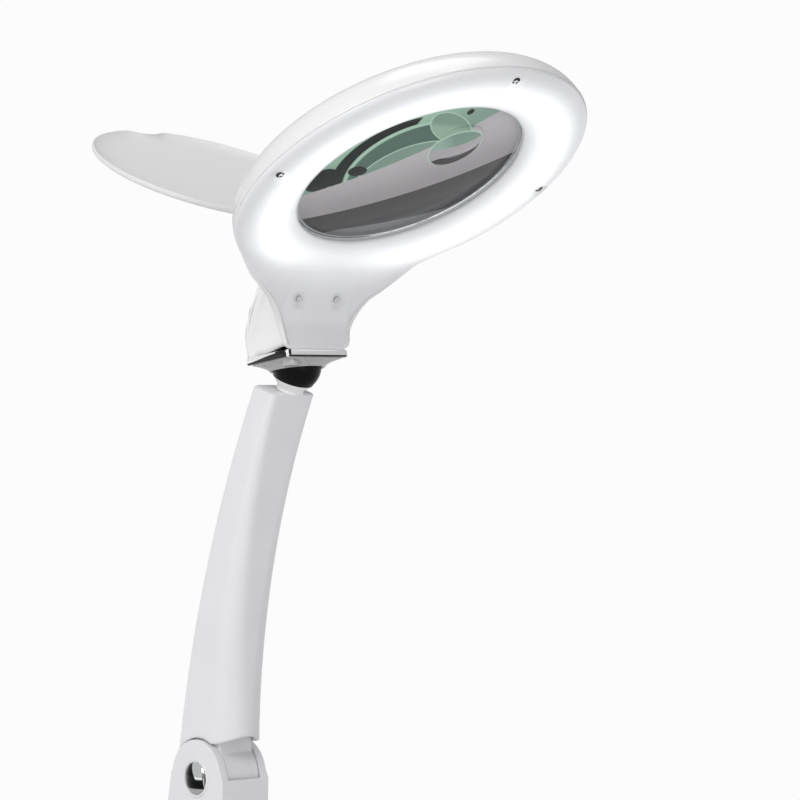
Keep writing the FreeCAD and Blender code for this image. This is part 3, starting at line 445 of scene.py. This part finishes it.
SCREW = [(0.01, 0.75), (0.55, 0.7), (0.8, 0.15), (1.5, 0.05), (1.85, 0.3), (1.9, 1.3), (1.2, 1.5),
         (1.15, 8.5), (0.01, 9)]
bright_screw = Finish("plated_screw", (0.72, 0.72, 0.73), 0.3, Metallic=0.6)
bright_screw.feed({"Roughness": bright_screw.noise(900, 3) * 0.2 + 0.25})
for index, screw in enumerate(SCREWS):
    on_neck = screw.y > 50
    lean = Matrix.Rotation(math.radians(-NECK_LEAN), 4, "X") if on_neck else Matrix()
    seat = Vector((0, 0.5, 0.7)) if on_neck else Vector((0, 0, 0.85))
    head = disc_grid(SCREW, 48)
    cross = np.abs(np.sin(2 * np.arctan2(head[2:4, :, 1], head[2:4, :, 0])))
    head[2:4, :, 2] += 0.5 * (1 - np.clip(cross / 0.55, 0, 1))
    metal = bright_screw if on_neck else blackened
    piece = skin("cover_screw_%d" % (index + 1), head * (0.8 if on_neck else 1.0),
                 HEAD @ Matrix.Translation(screw + seat) @ lean, metal.material, "head")
    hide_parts("cover_screws")

glass = Finish("lens_glass", (0.80, 0.93, 0.86), 0.015, IOR=1.46, Transmission_Weight=1.0)
from_centre = glass.spot_from(head_centre)
gx = glass.along(from_centre, (1000, 0, 0))
gy = glass.along(from_centre, down_neck * 1000)


def ring_at(x, y, stretch=1.0):
    """Distance in millimetres from a point of the lens."""
    return ((gx - x) ** 2 + ((gy - y) * stretch) ** 2).maths("SQRT")


def inside(amount, edge, soft=0.35):
    return 1 - amount.step(edge - soft, edge + soft)


# Painted reflections: the lens's pattern of green and grey bands, dark arcs, dark blots and bright rings
# stands in for what the glass reflects and shows through it. It is mixed over the clear glass at ninety to
# ninety-five per cent, patchy with noise.
across_band = gx * 0.587 + gy * 0.809
green_edge = gx * 0.745 + gy * 0.667
painted_reflection = glass.mix(green_edge.step(-46, -22), (0.42, 0.66, 0.50), (0.27, 0.41, 0.33))
painted_reflection = glass.mix(inside(ring_at(-4.7, -7.4), 28.6), painted_reflection, (0.10, 0.175, 0.14))
painted_dark_arc = inside(ring_at(-7.8, -7.2), 33.6) * ring_at(-5.0, -7.4).step(30.5, 31.0) * inside(gx, -21.5, 0.6)
painted_reflection = glass.mix(painted_dark_arc, painted_reflection, (0.006, 0.011, 0.009))
painted_reflection = glass.mix(ring_at(-4.9, -7.4).bump(29.7, 1.0), painted_reflection, (0.50, 0.74, 0.57))
painted_reflection = glass.mix(inside(ring_at(-1.1, 1.1), 26.0), painted_reflection, (0.24, 0.36, 0.29))
painted_reflection = glass.mix(ring_at(-1.1, 0.6).bump(25.7, 0.7), painted_reflection, (0.50, 0.72, 0.57))
for x, y, radius, stretch in ((-29.8, -0.6, 4.4, 1.3), (-41.6, 9.0, 6.4, 0.75), (0.2, -43.6, 1.7, 1.0)):
    painted_reflection = glass.mix(inside(ring_at(x, y, stretch), radius), painted_reflection, (0.008, 0.013, 0.011))
grey = glass.mix(across_band.step(-20, 12), (0.56, 0.54, 0.55), (0.38, 0.36, 0.37))
painted_reflection = glass.mix(green_edge.step(-18.4, -17.6), painted_reflection, grey)
painted_reflection = glass.mix(across_band.step(12.4, 13.0), painted_reflection, (0.045, 0.043, 0.044))
painted_reflection = glass.mix(across_band.step(28.8, 29.4), painted_reflection, (0.022, 0.021, 0.023))
crescent = across_band.step(30.4, 31.4) * (gx * 0.36 + gy * 0.93).step(37.0, 38.0)
painted_reflection = glass.mix(crescent, painted_reflection, (0.17, 0.175, 0.185))
loop_x, loop_y = gx + 3.1, gy + 33.3
upper_loop = (loop_x * 0.9 + loop_y * 0.44) ** 2 / 210 + (loop_y * 0.9 - loop_x * 0.44) ** 2 / 46
looped = glass.mix(gy.step(-37, -32), (0.24, 0.38, 0.30), (0.36, 0.52, 0.40))
painted_reflection = glass.mix(inside(upper_loop, 1.0, 0.04), painted_reflection, looped)
painted_reflection = glass.mix(upper_loop.bump(1.0, 0.13), painted_reflection, (0.50, 0.72, 0.56))
small = ring_at(7.9, -21.8)
insert_painted_reflection = glass.mix((gx - gy).step(20, 32), (0.36, 0.52, 0.42), (0.24, 0.37, 0.30))
insert_painted_reflection = glass.mix(across_band.step(-17.2, -16.6), insert_painted_reflection, (0.48, 0.46, 0.47))
insert_painted_reflection = glass.mix(across_band.step(-8.6, -8.0), insert_painted_reflection, (0.05, 0.045, 0.048))
painted_reflection = glass.mix(inside(small, 12.1), painted_reflection, insert_painted_reflection)
painted_reflection = glass.mix(small.bump(12.3, 0.6) * inside(across_band, -6.0, 2.0), painted_reflection, (0.52, 0.74, 0.58))
painted_reflection = glass.mix(ring_at(0, 0).bump(49.5, 1.2), painted_reflection, (0.50, 0.52, 0.53))
painted_reflection_shader = glass.add("BsdfPrincipled", {}, {"Base Color": painted_reflection, "Roughness": 0.2, "Specular IOR Level": 0.22,
                                         "Coat Weight": 0.12, "Coat Roughness": 0.02})
reflection_patchiness = glass.noise(60, 3).step(0.2, 0.8) * 0.05
clear = Value(glass, glass.shader.outputs[0])
glass.output(glass.add("MixShader", {}, {0: reflection_patchiness + 0.9, 1: clear, 2: painted_reflection_shader}))

FACE_RADIUS = 349
sag = [FACE_RADIUS - math.sqrt(FACE_RADIUS**2 - radius**2) for radius in np.linspace(0, 52, 27)]
front_face = [(radius, 3.1 - sag[-1] + fall) for radius, fall in zip(np.linspace(0.01, 51.7, 27), sag)]
rear_face = [(radius, 5.1 + sag[-1] - fall) for radius, fall in zip(np.linspace(0.01, 51.7, 27), sag)]
lens = skin("lens_glass", disc_grid(front_face + [(52, 3.4), (52, 4.8)] + rear_face[::-1]), HEAD,
            glass.material, "head")
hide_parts("lens")
bead = [(0.01, -5.0), (4, -4.8), (8, -4.25), (10.8, -3.5), (11.9, -2.6), (11.9, 0.8), (0.01, 0.8)]
insert = skin("strong_lens", disc_grid(bead, 72, 7, -24), HEAD @ Matrix.Translation((0, 0, 3.2)),
              glass.material, "head")
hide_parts("lens_insert")

satin_white = Finish("ring_white", (0.8, 0.8, 0.8), 0.3)
satin_white.moulded((0.82, 0.82, 0.82), (0.74, 0.75, 0.76), 900, 0.00002, 0.32, 0.1)
dress(satin_white, "lens_retaining_ring", "tube_connector")
tube_glow = Finish("tube_phosphor", (0.95, 0.96, 0.97), 0.3, Emission_Strength=2.2)
tube_clouds = tube_glow.noise(40, 2)
tube_glow.feed({"Emission Color": tube_glow.mix(tube_clouds, (0.93, 0.97, 1.0), (1.0, 0.99, 0.96))})
dress(tube_glow, "ring_tube")
bright_sheet = Finish("reflector_enamel", (0.9, 0.9, 0.9), 0.2, Metallic=0.1)
bright_sheet.moulded((0.9, 0.9, 0.9), (0.84, 0.85, 0.86), 700, 0.00001, 0.2, 0.08)
dress(bright_sheet, "reflector")
spring = Finish("spring_steel", (0.55, 0.55, 0.56), 0.3, Metallic=1.0)
spring.feed({"Roughness": spring.noise(700, 3) * 0.2 + 0.2})
dress(spring, "tube_clips", "stem_circlip")
board = Finish("board_resin", (0.03, 0.2, 0.09), 0.4)
board_weave = board.noise(500, 4).step(0.4, 0.6)
board.feed({"Base Color": board.mix(board_weave, (0.02, 0.16, 0.07), (0.05, 0.26, 0.12))})
dress(board, "driver_board")

# ---------------------------------------------------------------- flip-up lens cover
# Shallow moulded dish with a thin skirt, a thumb notch at its free end and a tongue that turns on
# a steel pin. Satin white outside and in. The lugs that should carry the pin are not made here.
hinge_centre = sum(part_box("cover_hinge_pin"), Vector()) / 2
LID_TURN = -157.5
LID = (Matrix.Translation(hinge_centre) @ Matrix.Rotation(math.radians(LID_TURN), 4, "X")
       @ Matrix.Scale(0.001, 4))
LID_RADIUS = 55.9
LID_TO_HINGE = 65.1
NOTCH_DEPTH = 5.2
LID_PROFILE = [(0.01, 3.9), (19, 3.75), (36, 3.4), (47.5, 2.95), (52.5, 2.4), (54.8, 1.6), (55.6, 0.8),
               (55.8, -0.1), (55.8, -0.6), (55.55, -0.85), (55.1, -0.85), (54.6, -0.6), (53.2, -0.05),
               (50.5, 0.65), (46, 1.25), (36, 1.75), (19, 2.1), (0.01, 2.25)]
lid_steps = np.concatenate([[0], np.cumsum(np.linalg.norm(np.diff(LID_PROFILE, axis=0), axis=1) + 0.2)])
lid_dense = np.unique(np.concatenate([np.linspace(a, b, 5) for a, b in zip(lid_steps[:-1], lid_steps[1:])]))
lid_curve = spline(lid_steps, LID_PROFILE, lid_dense)
lid_curve[:, 0] = np.clip(lid_curve[:, 0], 0.01, LID_RADIUS)
lid_grid = disc_grid(lid_curve, 240)
bearing = np.arctan2(lid_grid[0, :, 1], lid_grid[0, :, 0]) + math.pi / 2
notch = np.exp(-(np.abs(bearing * 57.5 / 8.0) ** 3.2)) * NOTCH_DEPTH
reach_out = np.linalg.norm(lid_grid[..., :2], axis=2)
pull = 1 - notch[None, :] * np.clip((reach_out - 34) / 23.5, 0, 1) ** 2 / np.maximum(reach_out, 1)
lid_grid[..., 0] *= pull
lid_grid[..., 1] = lid_grid[..., 1] * pull - LID_TO_HINGE
lid_white = Finish("lid_satin", (0.7, 0.69, 0.68), 0.42)
lid_white.moulded((0.80, 0.79, 0.78), (0.76, 0.75, 0.74), 1000, 0.00003, 0.42, 0.12)
lid = skin("lens_lid", lid_grid, LID, lid_white.material, "cover")


def rounded_bar(name, outline, half_width, place, edge, material, body, segments=3):
    """Outline in y and z made into a bar along x, with its edges rounded."""
    solid = bmesh.new()
    ends = [[solid.verts.new((hand * half_width, y, z)) for y, z in outline] for hand in (-1, 1)]
    solid.faces.new(ends[0][::-1])
    solid.faces.new(ends[1])
    for index in range(len(outline)):
        after = (index + 1) % len(outline)
        solid.faces.new((ends[0][index], ends[0][after], ends[1][after], ends[1][index]))
    bmesh.ops.recalc_face_normals(solid, faces=solid.faces)
    sharp = [line for line in solid.edges
             if len(line.link_faces) == 2 and line.calc_face_angle(0) > math.radians(30)]
    bmesh.ops.bevel(solid, geom=sharp, offset=edge, segments=segments, profile=0.5, affect="EDGES",
                    clamp_overlap=True)
    solid.transform(place)
    mesh = bpy.data.meshes.new(name)
    solid.to_mesh(mesh)
    solid.free()
    mesh.shade_smooth()
    piece = bpy.data.objects.new(name, mesh)
    scene.collection.objects.link(piece)
    mesh.materials.append(material)
    even = piece.modifiers.new("even", "WEIGHTED_NORMAL")
    even.keep_sharp = True
    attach(piece, body)
    return piece


def turn_of(radius, first, last, count, y=0.0, z=0.0):
    """Points of an arc in y and z, angles in degrees from the y axis."""
    angles = np.radians(np.linspace(first, last, count))
    return [(y + radius * math.cos(angle), z + radius * math.sin(angle)) for angle in angles]


tongue = rounded_bar("lid_tongue", turn_of(2.85, -50, 230, 19), 13.8, LID, 0.3, lid_white.material, "cover")
leaf = rounded_bar("lid_leaf", [(-1.2, 0.2), (-1.2, 2.4), (-16, 2.7), (-16, 0.6)], 10.8, LID, 0.3,
                   lid_white.material, "cover")
for piece in (tongue, leaf):
    piece.parent = lid
    piece.matrix_parent_inverse = lid.matrix_world.inverted()
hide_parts("lens_cover")
ground_steel = Finish("ground_steel", (0.62, 0.62, 0.63), 0.25, Metallic=1.0)
ground_steel.feed({"Roughness": ground_steel.noise(1200, 3) * 0.2 + 0.15})
ground_steel.relief(ground_steel.noise(3000, 2), 0.000008)
dress(ground_steel, "cover_hinge_pin", "elbow_pin", "foot_pin")

# ---------------------------------------------------------------- ball joint
# A bright plated rim closes the neck. Under it a flared cap holds a black ball on a short stem,
# and a cross-head screw by the front corner clamps the cap on the ball.
ball_centre = Vector(next(joint for joint in frame["joints"] if joint["name"] == "head_tilt")["pos_m"])
SOCKET, STEM = (Matrix.Translation(ball_centre) @ Matrix.Rotation(math.radians(tilt), 4, "X")
                @ Matrix.Scale(0.001, 4) for tilt in (-8.3, 25))


def plate_loop(half_x, front, rear, corner, up):
    """Rounded rectangle about the socket's axis, starting at the front corner."""
    count = 6
    points = []
    for turn, (cx, cy) in enumerate([(half_x - corner, -front + corner), (half_x - corner, rear - corner),
                                     (-half_x + corner, rear - corner), (-half_x + corner, -front + corner)]):
        for angle in np.linspace(turn * 90 - 90, turn * 90, count):
            points.append((cx + corner * math.cos(math.radians(angle)),
                           cy + corner * math.sin(math.radians(angle)), up))
    filled = []
    for index, point in enumerate(points):
        after = points[(index + 1) % len(points)]
        parts = 6 if (index + 1) % count == 0 else 1
        filled += [tuple(np.array(point) * (1 - k / parts) + np.array(after) * (k / parts))
                   for k in range(parts)]
    return filled


rim_loops = [plate_loop(16.1, 13.6, 12.2, 2.6, 2.15), plate_loop(16.7, 14.2, 12.8, 3.0, 2.1),
             plate_loop(17.6, 14.9, 13.6, 3.3, 2.2), plate_loop(17.9, 15.1, 13.9, 3.5, 2.6),
             plate_loop(17.9, 15.1, 13.9, 3.5, 3.6), plate_loop(17.9, 15.1, 13.9, 3.5, 4.9),
             plate_loop(17.5, 14.8, 13.5, 3.2, 5.2),
             plate_loop(14.0, 12.6, 12.4, 3.0, 5.2), plate_loop(13.0, 12.4, 12.4, 3.0, 3.5)]
painted_rim_reflection = Finish("bright_rim_plate", (0.86, 0.87, 0.88), 0.07, Metallic=1.0)
from_ball = painted_rim_reflection.spot_from(ball_centre)
sx, sy, sz = (painted_rim_reflection.along(from_ball, SOCKET.to_3x3().col[k] * 1e6) for k in range(3))
# Painted reflections: a black band along the lower edge, deeper on the left face towards the front, black on
# the front-left corner, the right side and the rear-left corner, and a white highlight stripe at the
# front-left corner, stand in for what the bright plate reflects.
thick = 0.75 + (1 - sx.step(-17.0, -15.0)) * (1 - sy.step(-9, 13)) * 1.6
painted_dark_underside = 1 - (sz - 2.1 - thick).step(-0.06, 0.06)
corner = (1 - sx.step(-15.3, -15.0)) * (1 - sy.step(-7.6, -7.2))
corner = corner + sx.step(16.55, 16.7) + (1 - sx.step(-16.8, -16.6)) * sy.step(12.4, 12.6)
painted_highlight_stripe = (sx - sy).bump(-2.5, 1.3).step(0.2, 0.5)
painted_dark = (painted_dark_underside + corner).maths("MINIMUM", 1.0) * (1 - painted_highlight_stripe * (1 - sx.step(-14, -13)))
painted_rim_reflection.feed({"Base Color": painted_rim_reflection.mix(painted_dark, (0.95, 0.95, 0.95), (0.006, 0.006, 0.006)),
             "Metallic": 0.35 - painted_dark * 0.2,
             "Roughness": painted_rim_reflection.noise(400, 3).step(0.4, 0.8) * 0.06 + 0.08})
rim = skin("bright_rim", np.array(rim_loops), SOCKET, painted_rim_reflection.material, "head")
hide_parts("neck_plate")

flare = [plate_loop(14.6, 12.9, 12.3, 3.4, 2.5), plate_loop(16.2, 13.8, 12.6, 3.4, 2.15),
         plate_loop(15.8, 13.5, 12.5, 3.6, 1.75), plate_loop(14.3, 12.9, 12.2, 5.5, 1.2),
         plate_loop(13.1, 12.5, 12.0, 8.0, 0.55), plate_loop(12.5, 12.1, 11.9, 10.0, -0.2),
         plate_loop(12.1, 12.0, 11.9, 11.3, -0.95), plate_loop(11.8, 11.8, 11.8, 11.7, -1.45),
         plate_loop(11.4, 11.4, 11.4, 11.3, -1.35), plate_loop(11.25, 11.25, 11.25, 11.2, 0.2),
         plate_loop(11.25, 11.25, 11.25, 11.2, 2.0)]
cap_silver = Finish("cap_silver", (0.5, 0.5, 0.5), 0.34, Metallic=0.35)
cap_grain = cap_silver.noise(600, 3)
cap_clouds = cap_silver.noise(120, 2)
cap_silver.feed({"Roughness": cap_grain * 0.15 + 0.22,
                 "Base Color": cap_silver.mix(cap_clouds, (0.40, 0.40, 0.40), (0.52, 0.52, 0.52))})
skirt = skin("socket_skirt", np.array(flare), SOCKET, cap_silver.material, "head")
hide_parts("socket_cap")
BOSS = [(3.3, 2.0), (3.3, -0.9), (3.0, -1.3), (2.8, -1.3), (2.7, -1.1), (2.7, -0.4), (0.01, -0.4)]
boss = skin("clamp_boss", disc_grid(BOSS, 48, -11.6, -9.6), SOCKET, cap_silver.material, "head")
dress(bright_screw, "clamp_screw")

black = Finish("ball_black", (0.003, 0.003, 0.0033), 0.3, Specular_IOR_Level=0.1)
black.feed({"Roughness": black.noise(500, 3) * 0.15 + 0.2})
black.relief(black.noise(1500, 2), 0.00001)
dress(black, "joint_ball", "friction_pad")

stem_white = Finish("stem_white", (0.8, 0.8, 0.8), 0.34)
stem_white.moulded((0.82, 0.82, 0.82), (0.77, 0.77, 0.77), 1200, 0.00002, 0.34, 0.1)
CUP = [(0.01, -10.8), (3, -10.4), (5.6, -9.15), (7.3, -7.85), (8.5, -6.55), (8.95, -5.9), (9.05, -5.95),
       (8.6, -6.6), (7.45, -7.9), (6.6, -8.6), (6.0, -9.3), (5.9, -10.2), (6.2, -11.2), (2.75, -11.2),
       (2.75, -21.9), (0.01, -22)]
cup_steps = np.concatenate([[0], np.cumsum(np.linalg.norm(np.diff(CUP, axis=0), axis=1))])
cup_dense = np.unique(np.concatenate([np.linspace(a, b, 4) for a, b in zip(cup_steps[:-1], cup_steps[1:])]))
cup_curve = np.stack([np.interp(cup_dense, cup_steps, np.array(CUP)[:, k]) for k in (0, 1)], axis=1)
stem = skin("stem_cup", disc_grid(cup_curve, 96), STEM, stem_white.material, "ball")
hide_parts("ball_stem")

# ---------------------------------------------------------------- upper arm
# Curved tapering arm moulded as a channel, with a snap-in strip behind. Its long edges are softly
# rounded, more at the foot than at the top, and its foot is cut round the elbow's ears.
ARM = Matrix.Translation(elbow) @ Matrix.Scale(0.001, 4)


def arc_points(first, middle, last, count):
    """Points on the circle through three points given as (forward, up)."""
    a, b, c = (np.array(point, float) for point in (first, middle, last))
    system = 2 * np.array([b - a, c - a])
    hub = np.linalg.solve(system, [b @ b - a @ a, c @ c - a @ a])
    radius = np.linalg.norm(a - hub)
    first_angle = math.atan2(*(a - hub)[::-1])
    sweep = math.atan2(*(c - hub)[::-1]) - first_angle
    sweep = (sweep + math.pi) % (2 * math.pi) - math.pi
    angles = first_angle + np.linspace(0, 1, count) * sweep
    return np.stack([hub[0] + radius * np.cos(angles), hub[1] + radius * np.sin(angles)], axis=1)


def arm_skin(back, front, half_width, front_round, back_round, count):
    """Closed sections from back to front along an arm; rounds are (at the foot, at the top)."""
    rows = []
    for index, (rear, fore) in enumerate(zip(arc_points(*back, count), arc_points(*front, count))):
        part = index / (count - 1)
        deep = np.linalg.norm(fore - rear)
        fr = front_round[0] + (front_round[1] - front_round[0]) * part
        br = back_round[0] + (back_round[1] - back_round[0]) * part
        loop = []
        for x, d, radius, first in ((half_width, deep, fr, 90), (half_width, 0.0, br, 0),
                                    (-half_width, 0.0, br, -90), (-half_width, deep, fr, -180)):
            hand = 1 if x > 0 else -1
            cx, cd = x - hand * radius, (d - radius if d else radius)
            for angle in np.radians(np.linspace(first, first - 90, 7)):
                loop.append((cx + radius * math.cos(angle), cd + radius * math.sin(angle)))
        filled = []
        for k, point in enumerate(loop):
            after = loop[(k + 1) % len(loop)]
            parts = 8 if (k + 1) % 7 == 0 else 1
            filled += [np.array(point) * (1 - j / parts) + np.array(after) * (j / parts)
                       for j in range(parts)]
        forward = (fore - rear) / deep
        rows.append([(x, -(rear[0] + forward[0] * d), rear[1] + forward[1] * d) for x, d in filled])
    return np.array(rows)


def trimmed(grid, keeps):
    """Starts each line of an arm's skin where keeps, given x, forward and up, turns positive for good."""
    result = grid.copy()
    share = np.linspace(0, 1, len(grid))
    for column in range(grid.shape[1]):
        line = grid[:, column]
        value = keeps(line[:, 0], -line[:, 1], line[:, 2])
        out = np.nonzero(value < 0)[0]
        if len(out):
            last = out[-1]
            part = -value[last] / (value[last + 1] - value[last])
            begin = share[last] + part * (share[last + 1] - share[last])
            wanted = begin + share * (1 - begin)
            result[:, column] = np.stack([np.interp(wanted, share, line[:, axis])
                                          for axis in range(3)], axis=1)
    return result


def above_elbow(x, forward, up):
    """Clear of the ears, and of the drum between them where the front face ends in an arch."""
    arch = 15.6 + 3.4 * (1 - (x / ARM_HALF_WIDTH) ** 2)
    return np.minimum(np.hypot(forward, up) - 17.8, np.maximum(up - arch, 8.4 - forward))


ARM_HALF_WIDTH = 12.0
UPPER_BACK = ((-15.9, 4), (1.2, 81.5), (37.9, 172.8))
UPPER_FRONT = ((21.3, 4), (25.6, 82), (51.9, 168.7))
upper = trimmed(arm_skin(UPPER_BACK, UPPER_FRONT, ARM_HALF_WIDTH, (12.5, 2.6), (2.6, 2.2), 140), above_elbow)
top = upper[-1]
middle_of_top = top.mean(0)
lift_out = np.array((0, -0.42, 0.906))
closing = [top * (1 - inset) + middle_of_top * inset + lift_out * rise
           for inset, rise in ((0.03, 0.30), (0.09, 0.72), (0.17, 0.86), (0.4, 0.88), (0.7, 0.88),
                               (0.999, 0.88))]
body_grid = np.concatenate([upper, [shape - lift_out * 0.9 for shape in closing]])
body_grid[-7] = top - lift_out * 0.9
arm_white = Finish("arm_satin", (0.78, 0.775, 0.785), 0.36)
arm_white.moulded((0.80, 0.80, 0.81), (0.755, 0.75, 0.76), 1300, 0.00003, 0.36, 0.1)
upper_arm = skin("upper_arm_shell", body_grid, ARM, arm_white.material, "upper_arm")
walled(upper_arm, 0.0022)
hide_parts("upper_arm_channel")
knuckle = rounded_bar("upper_knuckle", turn_of(16.3, 136, 400, 60) + [(9.5, 24), (-11.0, 24)], 9.3, ARM, 0.6,
                      arm_white.material, "upper_arm")
dress(arm_white, "upper_arm_strip")

# ---------------------------------------------------------------- lower arm and elbow
# The lower arm ends in two round ears that hold the upper arm's knuckle on a steel pin. Fibre
# washers give the friction, and bright domed mirror caps, whose near-black colour and highlights are painted
# reflections, cover the pin's ends.


def carved(piece, *tools):
    """Cuts tools out of a piece for good and removes them."""
    for tool in tools:
        step = piece.modifiers.new("cut", "BOOLEAN")
        step.operation = "DIFFERENCE"
        step.solver = "EXACT"
        step.object = tool
    bpy.context.view_layer.update()
    result = bpy.data.meshes.new_from_object(piece.evaluated_get(bpy.context.evaluated_depsgraph_get()))
    piece.modifiers.clear()
    piece.data = result
    for tool in tools:
        bpy.data.objects.remove(tool)
    return piece


def backwards(points):
    """Side-view points given as (forward, up), turned into y and z."""
    return [(-forward, up) for forward, up in points]


LOWER_BACK = ((-17.5, 2.4), (-31.0, -66), (-46.0, -134))
LOWER_FRONT = ((18.4, 0), (13.6, -66), (0.5, -134))
foot = sum(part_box("foot_pin"), Vector()) / 2
foot_y, foot_z = (foot - elbow).yz * 1000
top_round = turn_of(17.0, 172, 0, 40)
outline = (backwards(arc_points(*LOWER_FRONT, 40))[::-1] + top_round[1:-1]
           + backwards(arc_points(*LOWER_BACK, 40)))
lower_arm = rounded_bar("lower_arm_shell", outline, 13.0, ARM, 2.2, arm_white.material, "lower_arm",
                        segments=4)


def cutter(name, outline, half_width):
    """Sharp-edged bar that only serves to cut the lower arm."""
    return rounded_bar(name, outline, half_width, ARM, 0.01, arm_white.material, "lower_arm")


mouth = cutter("mouth", turn_of(17.4, 0, 360, 73)[:-1], 9.6)
open_top = cutter("open_top", [(-30, 0.2), (-30, 30), (30, 30), (30, 0.2)], 9.6)
foot_room = cutter("foot_room", turn_of(19.5, 0, 360, 73, foot_y, foot_z)[:-1], 20)
strip_low, strip_high = (Vector(corner - elbow) * 1000 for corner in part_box("lower_arm_strip"))
back_curve = arc_points(*LOWER_BACK, 60)
beside_strip = (back_curve[:, 1] < strip_high.z + 0.2) & (back_curve[:, 1] > strip_low.z - 0.2)
back_curve = back_curve[beside_strip]
slot_outline = backwards(back_curve - (3, 0)) + backwards(back_curve[::-1] + (2.3, 0))
strip_slot = cutter("strip_slot", slot_outline, 10.85)
carved(lower_arm, mouth, open_top, foot_room, strip_slot)
soften = lower_arm.modifiers.new("soften", "BEVEL")
soften.width = 0.0005
soften.segments = 2
soften.limit_method = "ANGLE"
soften.angle_limit = math.radians(50)
even = lower_arm.modifiers.new("even", "WEIGHTED_NORMAL")
even.keep_sharp = True
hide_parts("lower_arm_channel")
heel = rounded_bar("lower_knuckle", turn_of(15, -200, 20, 50, foot_y, foot_z)
                   + [(foot_y + 10.5, foot_z + 27), (foot_y - 14.5, foot_z + 27)], 10.4, ARM, 0.6,
                   arm_white.material, "lower_arm")
dress(arm_white, "lower_arm_strip")

cap_mirror = Finish("cap_mirror", (0.86, 0.87, 0.88), 0.05, Metallic=1.0)
dome = [(0.01, 0.0)] + [(radius, -2.6 * (radius / 7.0) ** 2.3 * 0.86) for radius in np.linspace(0.7, 6.9, 16)]
dome += [(7.1, -2.6), (7.1, -3.5)]
LIP = [(7.15, -3.3), (7.2, -2.35), (7.5, -2.0), (8.1, -1.9), (8.4, -2.2), (8.5, -3.3)]
for hub, node_name in ((elbow, "elbow_caps"), (foot, "foot_caps")):
    low_corner, high_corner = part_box(node_name)
    for side, hand, tip in (("left", -1, low_corner.x), ("right", 1, high_corner.x)):
        out = (Matrix.Translation((tip, hub.y, hub.z)) @ Matrix.Rotation(math.radians(hand * 90), 4, "Y")
               @ Matrix.Scale(0.001, 4))
        cap = skin("%s_dome_%s" % (node_name, side), disc_grid(dome, 72), out, cap_mirror.material,
                   "lower_arm")
        lip = skin("%s_lip_%s" % (node_name, side), disc_grid(LIP, 72), out, arm_white.material,
                   "lower_arm")
        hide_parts(node_name)
# Painted reflections: the caps' colour is near black, with a painted highlight window ahead of and above the
# elbow pin and a painted lower reflection below and ahead. Both are placed from the elbow, so the foot caps,
# far below it, come out mostly pale grey.
from_elbow = cap_mirror.spot_from(elbow)
ahead = cap_mirror.along(from_elbow, (0, -1000, 0))
above = cap_mirror.along(from_elbow, (0, 0, 1000))
painted_highlight_window = (ahead * 0.8 + above * 0.5).step(1.6, 2.1) * above.step(-0.6, 0.4) * (1 - ahead.step(5.6, 5.9))
painted_low_reflection = (above * -1).step(4.1, 4.6) + ahead.step(5.9, 6.1) * (1 - ahead.step(6.5, 6.7))
painted_reflection_mask = (painted_highlight_window + painted_low_reflection * 0.5).maths("MINIMUM", 1.0)
cap_mirror.feed({"Base Color": cap_mirror.mix(painted_reflection_mask, (0.012, 0.012, 0.012), (0.92, 0.95, 0.93)),
                 "Roughness": cap_mirror.noise(700, 2) * 0.04 + 0.05})
brass = Finish("bush_brass", (0.66, 0.5, 0.24), 0.3, Metallic=1.0)
brass.feed({"Roughness": brass.noise(900, 3) * 0.2 + 0.2})
dress(brass, "elbow_bush", "foot_bush", "swivel_bush")
fibre = Finish("vulcan_fibre", (0.06, 0.05, 0.05), 0.75)
fibre.feed({"Base Color": fibre.mix(fibre.noise(1500, 4), (0.045, 0.04, 0.04), (0.10, 0.085, 0.08))})
fibre.relief(fibre.noise(2600, 3), 0.00004)
dress(fibre, "elbow_washers", "foot_washers")

# ---------------------------------------------------------------- base
# Weighted table base: a moulded cover on a steel floor plate over a cast weight, with a rubber
# sole, a bolted fork for the lower arm, a rocker switch and a grommet for the lead.
base_white = Finish("base_gloss", (0.78, 0.78, 0.78), 0.3, Coat_Weight=0.2, Coat_Roughness=0.1)
base_white.moulded((0.80, 0.80, 0.80), (0.75, 0.75, 0.755), 1000, 0.00002, 0.32, 0.12)
dress(base_white, "base_cover", "pedestal_fork")
rubber = Finish("sole_rubber", (0.03, 0.03, 0.03), 0.8)
rubber.feed({"Base Color": rubber.mix(rubber.noise(300, 4), (0.022, 0.022, 0.023), (0.05, 0.05, 0.05)),
             "Roughness": rubber.noise(800, 3) * 0.2 + 0.7})
rubber.relief(rubber.noise(1800, 3, 0.7), 0.00008)
dress(rubber, "non_slip_sole", "cord_gland")
plated = Finish("zinc_plate", (0.5, 0.51, 0.52), 0.4, Metallic=1.0)
plated.feed({"Roughness": plated.noise(300, 4) * 0.3 + 0.25})
dress(plated, "base_plate", "base_screws", "fork_bolts")
iron = Finish("cast_iron", (0.12, 0.12, 0.125), 0.7, Metallic=0.7)
iron.feed({"Roughness": iron.noise(400, 4) * 0.3 + 0.5})
iron.relief(iron.noise(900, 4, 0.7), 0.00025)
dress(iron, "ballast_weight")
switch_grey = Finish("switch_grey", (0.2, 0.2, 0.21), 0.4)
switch_grey.moulded((0.23, 0.23, 0.24), (0.18, 0.18, 0.19), 1200, 0.00003, 0.4, 0.12)
dress(switch_grey, "switch_frame", "switch_rocker")
